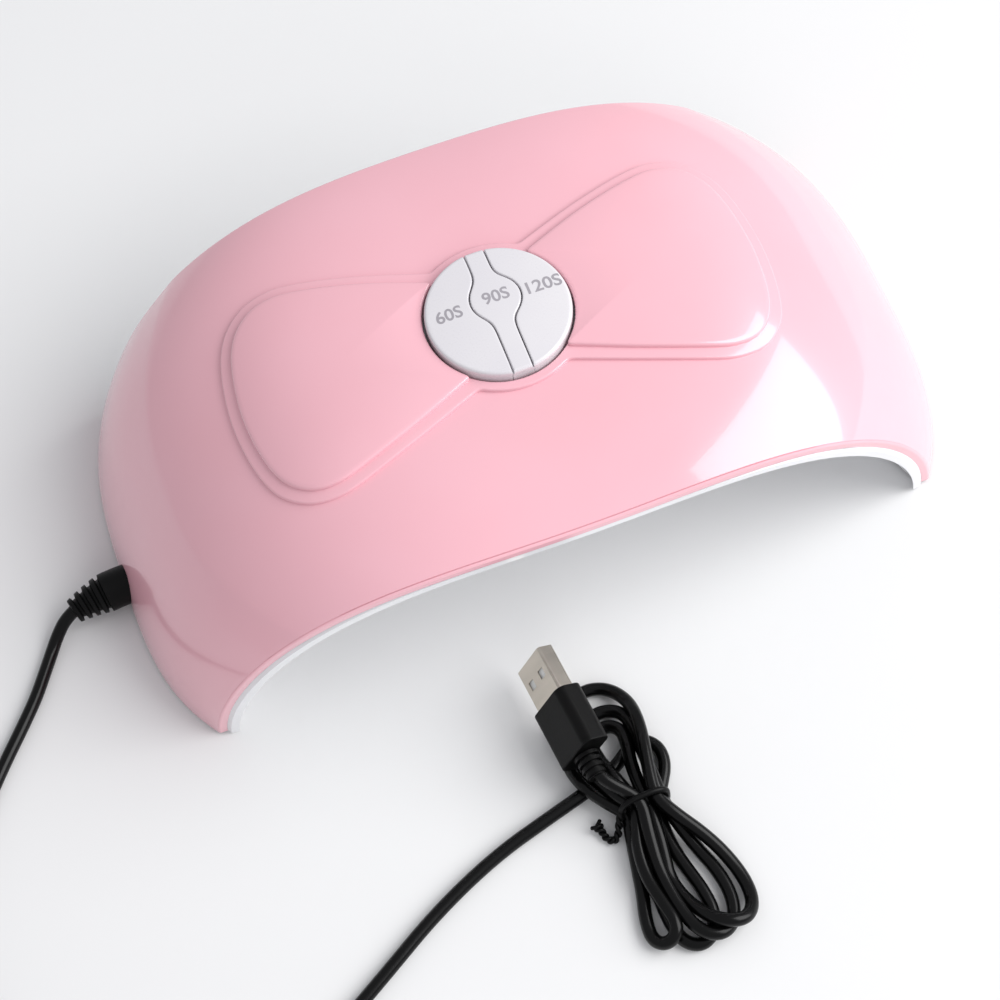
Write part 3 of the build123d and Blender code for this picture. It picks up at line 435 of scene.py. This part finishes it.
def build_casing():
    """One thin shell: the outer surface, its rounded front and back edges, the inner surface, the round
    hole's wall and the two feet."""
    columns, rows = casing_columns(), casing_rows()
    x, y = np.meshgrid(columns, rows)
    # squares round the middle become circles, so that the hole is round
    square, from_middle = np.maximum(np.abs(x), np.abs(y)), np.hypot(x, y)
    ease = np.clip((STRAIGHT_AT * HOLE - square) / (EASE_OVER * HOLE), 0, 1)
    pull = 1 + (square / np.maximum(from_middle, 1e-9) - 1) * ease ** 2 * (3 - 2 * ease)
    x, y = x * pull, y * pull
    rim = CROWN_DEPTH + RIM_PROUD - LIP_REST * LIP - (CROWN_DEPTH - LEG_DEPTH) * (x / HALF_WIDTH) ** 2
    y = y * rim / (CROWN_DEPTH - LIP)
    x = x * casing_size(y)[0] / HALF_WIDTH
    z = casing_top(x, y)
    normal = casing_normal(x, y, z)
    outer = np.stack([x, y, z], -1) - normal * crease(x, y)[..., None]
    # the wall is even across each section of the arch
    flat = normal * (1, 0, 1)
    flat /= np.linalg.norm(flat, axis=-1, keepdims=True)
    inner = outer - WALL * flat
    # each lip turns from the outer surface's slope to the rim's flat edge, which ends in a square corner
    lips = []
    for row, side in ((-1, 1.0), (0, -1.0)):
        centre = outer[row] - LIP * normal[row]
        start = np.arcsin(np.abs(normal[row][:, 1:2]))
        turned = []
        for part in np.linspace(0, 1, LIP_STEPS)[1:]:
            angle = start + (math.pi / 2 - start) * part
            turned.append(centre + LIP * (np.cos(angle) * flat[row] + np.sin(angle) * (0, side, 0)))
        corner = inner[row] * (1, 0, 1) + turned[-1] * (0, 1, 0)
        lips += [*turned, corner] if row == -1 else [corner, *turned[::-1]]
    back, front = lips[:LIP_STEPS], lips[LIP_STEPS:]
    section = [*outer, *back, *inner[::-1], *front[::-1]]
    row_count, column_count, size = len(rows), len(columns), len(section)
    verts = np.array(section).reshape(-1, 3)

    def at(row, column):
        """A point's index in the ring of rows."""
        return row % size * column_count + column

    def opposite(row):
        """The inner surface's row under an outer row."""
        return row_count + LIP_STEPS + (row_count - 1 - row)

    mid_row, mid_column = row_count // 2, column_count // 2
    hole_rows = range(mid_row - HOLE_STEPS, mid_row + HOLE_STEPS)
    hole_columns = range(mid_column - HOLE_STEPS, mid_column + HOLE_STEPS)
    under = {opposite(row) - 1 for row in hole_rows}
    faces = []
    for row in range(size):
        for column in range(column_count - 1):
            if column in hole_columns and (row in hole_rows or row in under):
                continue
            faces.append((at(row, column), at(row, column + 1), at(row + 1, column + 1),
                          at(row + 1, column)))
    for row in hole_rows:
        for column in (hole_columns[0], hole_columns[-1] + 1):
            faces.append((at(row, column), at(row + 1, column), at(opposite(row + 1), column),
                          at(opposite(row), column)))
    for column in hole_columns:
        for row in (hole_rows[0], hole_rows[-1] + 1):
            faces.append((at(row, column), at(row, column + 1), at(opposite(row), column + 1),
                          at(opposite(row), column)))
    for column in (0, column_count - 1):
        for row in range(row_count - 1):
            faces.append((at(row, column), at(row + 1, column), at(opposite(row + 1), column),
                          at(opposite(row), column)))
        faces.append([at(row, column) for row in range(row_count - 1, row_count + LIP_STEPS + 1)])
        faces.append([at(row, column) for row in (*range(size - LIP_STEPS - 1, size), 0)])
    return mesh_piece("casing", verts, faces, PINK, "casing", "pink_shell", CASING_SHARP)


casing = build_casing()
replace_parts(casing, "outer_shell")

# ---- bow ----
# a quarter of each outline, from beside the button to the lobe's tip
LEDGE_OUTLINE = [(8, 16), (27, 23.3), (43, 28.5), (50.5, 29.6), (57.5, 27.8), (63.3, 22.2), (66.5, 13),
                 (67.8, 0)]
PILLOW_OUTLINE = [(8, 12.4), (27, 20.3), (43, 25.6), (50.3, 26.8), (56.1, 25.3), (61, 20.4), (63.8, 12.2),
                  (65, 0)]
LEDGE_RISE = 1.0
PILLOW_RISE = 2.2
PUFF = 1.0                     # how much the pillow's middle stands over its edge
LOBE_MIDDLE = 41.0
BOW_SHARP = 60
# insets and heights over the casing, from the foot of each edge to its flat top
LEDGE_EDGE = [(0, -0.9), (0, 0.1), (0.02, 0.55), (0.08, 0.78), (0.2, 0.93), (0.42, LEDGE_RISE)]
PILLOW_EDGE = [(0, 0.3), (0, 1.1), (0.02, 1.6), (0.1, 1.88), (0.26, 2.08), (0.5, PILLOW_RISE)]
# distances from the well's wall and heights over the casing, down the ledge's inner edge
WELL_EDGE = [(0.3, LEDGE_RISE), (0.09, 0.91), (0, 0.7), (0, -2.1)]
LEDGE_UNDER = -1.4             # the ledge's hidden underside, inside the casing's wall
UNDER_INSET, UNDER_WELL = 0.8, 0.2
LEDGE_STEPS, PILLOW_STEPS = 640, 420
LEDGE_PASSES, PILLOW_PASSES = 3, 4
COLLAR_STEPS, WELL_STEPS = 40, 24
TOP_PARTS = (0.2, 0.4, 0.6, 0.8)    # where the ledge's flat top has its rings
PUFF_RINGS = 26
PUFF_SPACING, PUFF_POWER = 0.8, 3


def beyond(points, radius):
    """A quarter outline: the part of a curve that lies outside a circle round the button."""
    mirrored = [*points, *((x, -y) for x, y in points[-2::-1])]
    curve = smooth_through(mirrored)
    curve = curve[curve[:, 1] >= -1e-6]
    return curve[np.hypot(*curve.T) > radius]


def raised(loop, height):
    """The outline laid on the casing, height above it."""
    return np.column_stack([loop, casing_top(*loop.T) + height])


def build_ledge():
    """The bow's flat step, a ring round the well that spreads into both lobes."""
    lobe = beyond(LEDGE_OUTLINE, COLLAR_RADIUS)[::-1]            # from the tip to the collar
    start = math.atan2(lobe[-1][1], lobe[-1][0])
    turn = np.linspace(start, math.pi / 2, COLLAR_STEPS)[1:]
    collar = COLLAR_RADIUS * np.column_stack([np.cos(turn), np.sin(turn)])
    quarter = np.vstack([lobe, collar])
    half = np.vstack([quarter, quarter[-2::-1] * (-1, 1)])
    outline = even_loop(np.vstack([half, half[-2:0:-1] * (1, -1)]), LEDGE_STEPS, LEDGE_PASSES)
    well = outline / np.hypot(*outline.T)[:, None]
    loops = [raised(inset(outline, distance), height) for distance, height in LEDGE_EDGE]
    edge = inset(outline, LEDGE_EDGE[-1][0])
    for part in TOP_PARTS:
        loops.append(raised(edge * (1 - part) + (WELL_RADIUS + WELL_EDGE[0][0]) * well * part, LEDGE_RISE))
    for distance, height in WELL_EDGE:
        loops.append(raised((WELL_RADIUS + distance) * well, height))
    under = (inset(outline, UNDER_INSET) + (WELL_RADIUS + UNDER_WELL) * well) / 2
    loops.append(raised(under, LEDGE_UNDER))
    return mesh_piece("bow_ledge", *skin(loops, ring=True), PINK, "casing", "pink_shell", BOW_SHARP)


def build_pillow(name, side):
    """One puffed lobe of the bow on its ledge; side is -1 on the left and 1 on the right."""
    lobe = beyond(PILLOW_OUTLINE, WELL_RADIUS)
    end = math.atan2(lobe[0][1], lobe[0][0])
    turn = np.linspace(0, end, WELL_STEPS, endpoint=False)
    well = WELL_RADIUS * np.column_stack([np.cos(turn), np.sin(turn)])
    half = np.vstack([well, lobe])
    closed = np.vstack([half, half[-2:0:-1] * (1, -1)])[::-1]
    outline = even_loop(closed, PILLOW_STEPS, PILLOW_PASSES) * (side, 1)
    if side < 0:
        outline = outline[::-1]
    middle = np.array([LOBE_MIDDLE * side, 0.0])
    loops = [raised(inset(outline, distance), height) for distance, height in PILLOW_EDGE]
    edge = inset(outline, PILLOW_EDGE[-1][0])
    for reach in np.linspace(1, 0, PUFF_RINGS, endpoint=False)[1:] ** PUFF_SPACING:
        rise = PILLOW_RISE + PUFF * (1 - reach ** PUFF_POWER)
        loops.append(raised(middle + (edge - middle) * reach, rise))
    top = (*middle, casing_top(*middle) + PILLOW_RISE + PUFF)
    base = (*middle, casing_top(*middle) + PILLOW_EDGE[0][1])
    return mesh_piece(name, *skin(loops, caps=(base, top)), PINK, "casing", "pink_shell", BOW_SHARP)


build_ledge()
for name, side in (("bow_pillow_left", -1), ("bow_pillow_right", 1)):
    build_pillow(name, side)

# ---- keys ----
DOME_RADIUS = (KEY_RADIUS ** 2 + KEY_DOME ** 2) / (2 * KEY_DOME)
DOME_CENTRE = KEY_RIM_TOP + KEY_DOME - DOME_RADIUS
KEY_FOOT = 60.9                # where the keys' walls meet their flanges
KEY_ROWS = 110
KEY_COLUMNS = 24
GRID_MARGIN = 0.5              # ends the side keys' rows before their sharp corners
KEY_SOFT = 0.8                 # radius of the button's top edge
SLOT_SOFT = 0.28               # radius along the slots
SOFT_STEPS = 6
SOFT_BLEND = 2                 # the width over which one radius becomes the other
SKIRT_DEPTH = 1.1              # below this depth the middle key is wider, so the slots have a floor
SKIRT_GAP = 0.06               # what is left of the slots there
FLANGE_RADIUS = 19.4
FLANGE_THICKNESS = 1
STEM_X = {"60s": -10.5, "90s": 0.5, "120s": 10.5}
STEM_RADIUS = 1.8
STEM_IN_FLANGE = 0.5
SLOT_STEP = 0.02               # how finely a slot's edge is drawn, then how finely it is eased
SLOT_EASE_STEP = 0.1
SLOT_EASE = 700                # smoothing passes over the corners between strip and lobe
WELD = 0.002                   # points of a key that lie this close become one
KEY_SHARP = 50
LABEL_GLYPH_WIDTH = 2.15
LABEL_HEIGHT = 3.4
LABEL_SIZE = 5.0               # the font's size and stroke, before the lettering is scaled to its place
LABEL_STROKE = 0.07
LABEL_EXTRUDE = 0.04
LABEL_TOP, LABEL_BOTTOM = 0.04, -0.07    # the lettering's faces, measured from the dome


def dome(x, y):
    """Height of the button's domed top."""
    return DOME_CENTRE + np.sqrt(DOME_RADIUS ** 2 - x ** 2 - y ** 2)


def slot_edge(side, trim):
    """One long edge of the middle key as depths and positions: strip, lobe, and eased corners between
    them."""
    y = np.arange(-KEY_RADIUS, KEY_RADIUS, SLOT_STEP)
    bulge = np.sqrt(np.clip((LOBE_RADIUS + LOBE_ALLOWANCE - trim) ** 2 - (y - LOBE_CENTRE[1]) ** 2, 0, None))
    x = np.maximum(STRIP_HALF - trim, np.where(bulge > 0, bulge + side * LOBE_CENTRE[0], 0)) * side
    line = np.column_stack([x, y])
    reach = run_lengths(line)
    steps = np.arange(0, reach[-1], SLOT_EASE_STEP)
    line = np.column_stack([np.interp(steps, reach, line[:, axis]) for axis in (0, 1)])
    for _ in range(SLOT_EASE):
        line[1:-1] = (line[:-2] + 2 * line[1:-1] + line[2:]) / 4
    return line[:, 1], line[:, 0]


def key_span(kind, y, trim, radius):
    """Left and right edge of a key at depth y; trim moves its edges along the slots."""
    arc = np.sqrt(np.clip(radius ** 2 - y ** 2, 0, None))
    grow = trim if kind == "90s" else -trim - KEY_GAP
    left, right = (np.interp(y, *slot_edge(side, grow)) for side in (-1, 1))
    if kind == "90s":
        return np.maximum(left, -arc), np.minimum(right, arc)
    return (-arc, left) if kind == "60s" else (right, arc)


def key_grid(kind, trim, radius):
    """Plan positions over one key, in rows from front to back."""
    strip = STRIP_HALF - trim if kind == "90s" else STRIP_HALF + KEY_GAP + trim + GRID_MARGIN
    reach = math.sqrt(radius ** 2 - strip ** 2)
    y = reach * np.sin(np.linspace(-math.pi / 2, math.pi / 2, KEY_ROWS))
    left, right = key_span(kind, y, trim, radius)
    part = np.linspace(0, 1, KEY_COLUMNS)
    x = left[:, None] + (right - left)[:, None] * part
    return x, np.repeat(y[:, None], KEY_COLUMNS, 1)


def border(grid):
    """The outside of a grid of points, as one closed loop."""
    return np.concatenate([grid[0], grid[1:, -1], grid[-1, -2::-1], grid[-2:0:-1, 0]])


def build_key(kind):
    """A key cap: flange, wall, skirt along the slots, rounded edge, domed top and stem."""
    skirt = SKIRT_GAP - KEY_GAP if kind == "90s" else 0.0
    loops = []
    for level, trim, radius in ((KEY_FOOT - FLANGE_THICKNESS, skirt, FLANGE_RADIUS),
                                (KEY_FOOT, skirt, FLANGE_RADIUS),
                                (KEY_FOOT, skirt, KEY_RADIUS),
                                (KEY_RIM_TOP - SKIRT_DEPTH, skirt, KEY_RADIUS),
                                (KEY_RIM_TOP - SKIRT_DEPTH, 0.0, KEY_RADIUS)):
        x, y = key_grid(kind, trim, radius)
        loops.append(border(np.stack([x, y, 0 * x + level], -1)))
    for turn in np.linspace(0, math.pi / 2, SOFT_STEPS):
        drop, draw = 1 - math.sin(turn), 1 - math.cos(turn)
        x, y = key_grid(kind, SLOT_SOFT * draw, KEY_RADIUS - KEY_SOFT * draw)
        # the slots' edges are rounded less than the button's own edge
        near_rim = np.clip((np.hypot(x, y) - KEY_RADIUS + SOFT_BLEND) / SOFT_BLEND, 0, 1)
        z = dome(x, y) - (SLOT_SOFT + (KEY_SOFT - SLOT_SOFT) * near_rim) * drop
        loops.append(border(np.stack([x, y, z], -1)))
    verts, faces = skin(loops)
    top = len(verts)
    grid = np.stack([x, y, dome(x, y)], -1)
    verts += [tuple(vert) for vert in grid.reshape(-1, 3)]
    for row in range(KEY_ROWS - 1):
        for column in range(KEY_COLUMNS - 1):
            corner = top + row * KEY_COLUMNS + column
            faces.append((corner, corner + 1, corner + KEY_COLUMNS + 1, corner + KEY_COLUMNS))
    faces.append(list(range(len(loops[0]))))
    stem = [(STEM_X[kind], 0, KEY_FOOT - STEM_IN_FLANGE), (STEM_X[kind], 0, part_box("key_" + kind)[0].z / MM)]
    join(verts, faces, *skin(sweep(stem, [STEM_RADIUS] * 2), caps=stem))
    piece = mesh_piece("key_cap_" + kind, verts, faces, PEARL, "key_" + kind, "pearl_key", KEY_SHARP)
    clean_mesh(piece.data, WELD)
    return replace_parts(piece, "key_" + kind)


def build_label(kind, centre):
    """Shallow grey lettering that follows the key's dome; its grey is painted shade, standing in for the shade
    inside engraved letters.
    """
    text = kind.upper()
    curve = bpy.data.curves.new("label_" + kind, "FONT")
    curve.body = text
    curve.align_x, curve.align_y = "CENTER", "CENTER"
    curve.size = LABEL_SIZE
    curve.extrude = LABEL_EXTRUDE
    curve.offset = LABEL_STROKE
    curve.resolution_u = 6
    source = bpy.data.objects.new("label_source", curve)
    mesh = bpy.data.meshes.new_from_object(source)
    bpy.data.objects.remove(source)
    points = np.array([vert.co for vert in mesh.vertices])
    low, high = points.min(0), points.max(0)
    size = (LABEL_GLYPH_WIDTH * len(text), LABEL_HEIGHT)
    plan = (points[:, :2] - (low + high)[:2] / 2) * size / (high - low)[:2] + centre
    z = dome(*plan.T) + np.where(points[:, 2] > 0, LABEL_TOP, LABEL_BOTTOM)
    for vert, spot, level in zip(mesh.vertices, plan, z):
        vert.co = (spot[0] * MM, spot[1] * MM, level * MM)
    obj = bpy.data.objects.new("label_" + kind, mesh)
    bpy.context.scene.collection.objects.link(obj)
    return add_piece(obj, LETTERING_PAINTED_SHADE, "key_" + kind)


for kind, centre in (("60s", (-11.3, 2.7)), ("90s", (0.7, 3.4)), ("120s", (12.5, 2.5))):
    build_key(kind)
    build_label(kind, centre)


# ---- strain relief and tie ----
BOOT_BIG, BOOT_SMALL = 5.1, 3.2
BOOT_PLAIN = 0.42              # the part of the boot before its first groove
BOOT_GROOVES = 4
BOOT_GROOVE = 1.0              # the grooves' depth
BOOT_OPEN = 0.42               # the part of each groove's pitch that is cut
BOOT_STEPS = 161
BOOT_SIDES = 40
BOOT_SHARP = 45
BOOT_BEND = [(-104.8, -4.3, 6.0), (-113.0, -4.4, 6.1), (-120.4, -6.6, 5.6)]    # out of the casing, then down
TIE_Y = -106.2
TIE_CENTRE = (-5.3, 5.95)
TIE_SIZE = (13.4, 11.9)
TIE_SQUARE = 3.0               # how square the band's corners are
TIE_WIRE = 0.75
TIE_SLANT, TIE_SLANT_TURN = 0.5, 0.6    # how far the band leans, and where round it
TIE_STEPS = 72
TIE_STRAND = 0.5
TIE_TWISTS = 4.5
TIE_PART_FROM = 0.82           # from here the two strands move apart
TIE_PARTING = 1.6
TIE_TAIL = [(-11.0, -106.3, 7.6), (-12.3, -107.6, 4.4), (-13.4, -109.6, 2.0), (-15.0, -110.6, 1.2),
            (-16.4, -109.2, 1.3), (-16.9, -107.2, 1.6), (-17.6, -105.6, 2.2)]


def build_boot():
    """The ribbed strain relief, which leaves the casing level and bends towards the desk."""
    start, bend, tip = (np.array(point) for point in BOOT_BEND)
    along = np.linspace(0, 1, BOOT_STEPS)
    path = [(1 - t) ** 2 * start + 2 * t * (1 - t) * bend + t * t * tip for t in along]
    radii = []
    for t in along:
        body = BOOT_BIG + (BOOT_SMALL - BOOT_BIG) * max(t - BOOT_PLAIN, 0) / (1 - BOOT_PLAIN)
        step = (t - BOOT_PLAIN) / (1 - BOOT_PLAIN) * BOOT_GROOVES
        radii.append(body - (BOOT_GROOVE if t > BOOT_PLAIN and step % 1 < BOOT_OPEN else 0))
    radii = np.convolve(np.pad(radii, 1, mode="edge"), [0.25, 0.5, 0.25], "valid")
    verts, faces = skin(sweep(path, radii, BOOT_SIDES), caps=(path[0], path[-1]))
    boot = mesh_piece("cord_boot", verts, faces, BLACK_PLASTIC, "casing", "black_plastic", BOOT_SHARP)
    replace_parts(boot, "strain_relief")
    return boot


def build_tie():
    """A coated wire round the hank, with its ends twisted together and curled on the desk."""
    around = np.linspace(0, 2 * math.pi, TIE_STEPS, endpoint=False)
    across, up = np.cos(around), np.sin(around)
    reach = (np.abs(across) ** TIE_SQUARE + np.abs(up) ** TIE_SQUARE) ** (-1 / TIE_SQUARE)
    half_x, half_z = TIE_SIZE[0] / 2 - TIE_WIRE, TIE_SIZE[1] / 2 - TIE_WIRE
    band = np.column_stack([TIE_CENTRE[0] + half_x * reach * across,
                            TIE_Y + TIE_SLANT * np.sin(around + TIE_SLANT_TURN),
                            TIE_CENTRE[1] + half_z * reach * up])
    verts, faces = skin(sweep(band, [TIE_WIRE] * len(band), 16, closed=True), ring=True)
    core = smooth_through(TIE_TAIL, 16)
    along = np.gradient(core, axis=0)
    along /= np.linalg.norm(along, axis=1)[:, None]
    side = np.cross(along, (0.0, 0.0, 1.0))
    side /= np.linalg.norm(side, axis=1)[:, None]
    lift = np.cross(side, along)
    part = np.linspace(0, 1, len(core))[:, None]
    for phase in (0, math.pi):
        turn = phase + part * TIE_TWISTS * 2 * math.pi
        apart = TIE_STRAND * (1 + TIE_PARTING * np.clip(part - TIE_PART_FROM, 0, 1) / (1 - TIE_PART_FROM))
        strand = core + apart * (np.cos(turn) * side + np.sin(turn) * lift)
        tube = sweep(strand, [TIE_STRAND] * len(strand), 12)
        join(verts, faces, *skin(tube, caps=(strand[0], strand[-1])))
    tie = mesh_piece("hank_tie", verts, faces, BLACK_PLASTIC, "casing", "black_plastic")
    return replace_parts(tie, "twist_tie")


boot = build_boot()
tie = build_tie()

# ---- the cord ----
ROUTE = [
    (-119.4, -6.0, 5.8), (-122.9, -7.4, 4.9), (-126.2, -10.2, 3.0), (-129.0, -13.6, CORD_RADIUS),
    (-132.0, -18.2, CORD_RADIUS), (-135.8, -24.0, CORD_RADIUS), (-141.2, -30.6, CORD_RADIUS),
    (-148.4, -39.0, CORD_RADIUS), (-157.2, -50.4, CORD_RADIUS), (-165.8, -66.0, CORD_RADIUS),
    (-170.5, -84.0, CORD_RADIUS), (-168.5, -102.4, CORD_RADIUS), (-160.0, -118.6, CORD_RADIUS),
    (-145.4, -129.8, CORD_RADIUS), (-127.0, -135.4, CORD_RADIUS), (-108.0, -135.6, CORD_RADIUS),
    (-91.4, -130.6, CORD_RADIUS), (-76.4, -121.8, CORD_RADIUS), (-60.2, -112.0, CORD_RADIUS),
    (-42.4, -104.0, CORD_RADIUS), (-26.6, -99.6, CORD_RADIUS), (-14.0, -96.2, CORD_RADIUS),
]
# The hank: the lead goes up and down through its tie, one list for each loop below or above the tie.
FLAT = CORD_RADIUS                 # lying on the desk
LOW, MID, TOP = 2.9, 5.75, 8.6     # the three layers of the bundle where the tie holds it
ENTRY = [(-7.6, -93.4, FLAT), (-2.8, -89.9, FLAT), (1.2, -89.4, FLAT), (3.9, -92.6, FLAT), (3.6, -97.4, FLAT),
         (0.6, -102.2, 2.2)]
INNER_LOOP = [(-2.4, -107.4, LOW), (-2.8, -113.0, 2.1), (-2.4, -118.6, FLAT), (-1.2, -124.0, FLAT),
              (0.2, -129.6, FLAT), (0.6, -135.4, FLAT), (-1.2, -140.0, FLAT), (-5.2, -142.0, FLAT),
              (-9.0, -139.4, FLAT), (-10.2, -133.0, FLAT), (-10.0, -125.4, FLAT), (-8.8, -118.0, FLAT),
              (-6.8, -111.6, 2.3)]
SMALL_ARCH = [(-6.2, TIE_Y, LOW), (-7.8, -101.0, 3.8), (-9.8, -96.0, 5.0), (-11.1, -91.0, 3.2),
              (-11.3, -86.0, FLAT), (-8.9, -83.2, FLAT), (-5.5, -83.0, 2.0), (-3.2, -85.6, 3.2),
              (-3.5, -90.2, 4.8), (-4.5, -95.2, 5.1), (-4.7, -100.6, 5.3)]
OUTER_LOOP = [(-4.35, TIE_Y, MID), (-4.6, -111.6, 5.4), (-5.3, -118.0, 3.6), (-6.2, -124.4, FLAT),
              (-4.4, -131.4, 3.0), (-1.6, -136.8, 5.6), (2.2, -140.2, 7.2), (6.8, -140.6, 5.4),
              (10.0, -136.8, 2.6), (10.4, -130.4, FLAT), (8.2, -123.2, 2.8), (4.8, -117.4, 5.2),
              (0.6, -112.0, 7.6)]
BIG_ARCH = [(-2.7, TIE_Y, TOP), (-1.6, -99.4, 8.7), (-0.1, -92.4, 8.4), (1.0, -85.6, 7.0), (1.0, -79.0, 3.6),
            (-2.4, -73.4, FLAT), (-8.6, -71.9, FLAT), (-14.6, -76.0, FLAT), (-18.0, -82.8, FLAT),
            (-18.5, -90.6, 2.2), (-17.0, -97.2, 5.0), (-13.4, -102.0, 3.9)]
NARROW_LOOP = [(-9.6, TIE_Y, LOW), (-10.8, -111.6, 2.1), (-12.0, -118.0, FLAT), (-13.4, -125.4, FLAT),
               (-15.0, -131.0, FLAT), (-15.5, -136.2, FLAT), (-13.6, -138.8, 2.7), (-10.8, -138.8, 4.3),
               (-9.0, -136.2, 5.3), (-10.2, -130.2, 5.1), (-11.4, -123.4, 4.6), (-10.9, -116.6, 4.7),
               (-9.3, -111.0, 5.3)]
MIDDLE_ARCH = [(-7.75, TIE_Y, MID), (-10.8, -101.4, 5.6), (-13.4, -96.6, 5.0), (-14.9, -91.2, 2.4),
               (-14.4, -85.0, FLAT), (-11.2, -80.2, FLAT), (-6.2, -78.6, FLAT), (-1.6, -80.6, 2.4),
               (-0.2, -86.0, 4.0), (-0.7, -92.6, 5.1), (-0.7, -100.0, 5.5)]
MIDDLE_LOOP = [(-1.05, TIE_Y, MID), (0.4, -112.4, 4.0), (2.8, -119.4, FLAT), (5.2, -126.4, FLAT),
               (6.0, -133.0, FLAT), (4.6, -138.6, 2.3), (1.0, -141.7, 4.2), (-3.2, -140.8, 5.0),
               (-6.0, -136.6, 4.9), (-7.4, -130.0, 4.8), (-7.9, -122.0, 4.9), (-7.2, -114.0, 6.8)]
TO_PLUG = [(-6.0, TIE_Y, TOP), (-8.6, -103.0, 9.8), (-11.4, -100.6, 11.2), (-13.4, -97.8, 12.0),
           (-14.2, -94.8, 12.2)]

cord_points = (ROUTE + ENTRY + INNER_LOOP + SMALL_ARCH + OUTER_LOOP + BIG_ARCH + NARROW_LOOP + MIDDLE_ARCH
               + MIDDLE_LOOP + TO_PLUG)
cord_curve = bpy.data.curves.new("usb_lead", "CURVE")
cord_curve.dimensions = "3D"
cord_curve.resolution_u = 8
cord_curve.bevel_depth = CORD_RADIUS * MM
cord_curve.bevel_resolution = 6
cord_curve.use_fill_caps = True
spline = cord_curve.splines.new("NURBS")
spline.points.add(len(cord_points) - 1)
for control, point in zip(spline.points, cord_points):
    control.co = (*(value * MM for value in point), 1.0)
spline.order_u = 3
spline.use_endpoint_u = True
lead = bpy.data.objects.new("usb_lead", cord_curve)
bpy.context.scene.collection.objects.link(lead)
add_piece(lead, BLACK_CORD, "casing")
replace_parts(lead, "usb_cord", "cord_hank")

# ---- floor ----
REACH = 12.0                   # metres from the middle to each edge
floor_mesh = bpy.data.meshes.new("floor")
corners = [(-REACH, -REACH, 0), (REACH, -REACH, 0), (REACH, REACH, 0), (-REACH, REACH, 0)]
floor_mesh.from_pydata(corners, [], [(0, 1, 2, 3)])
floor = bpy.data.objects.new("floor", floor_mesh)
bpy.context.scene.collection.objects.link(floor)
floor.data.materials.append(FLOOR)
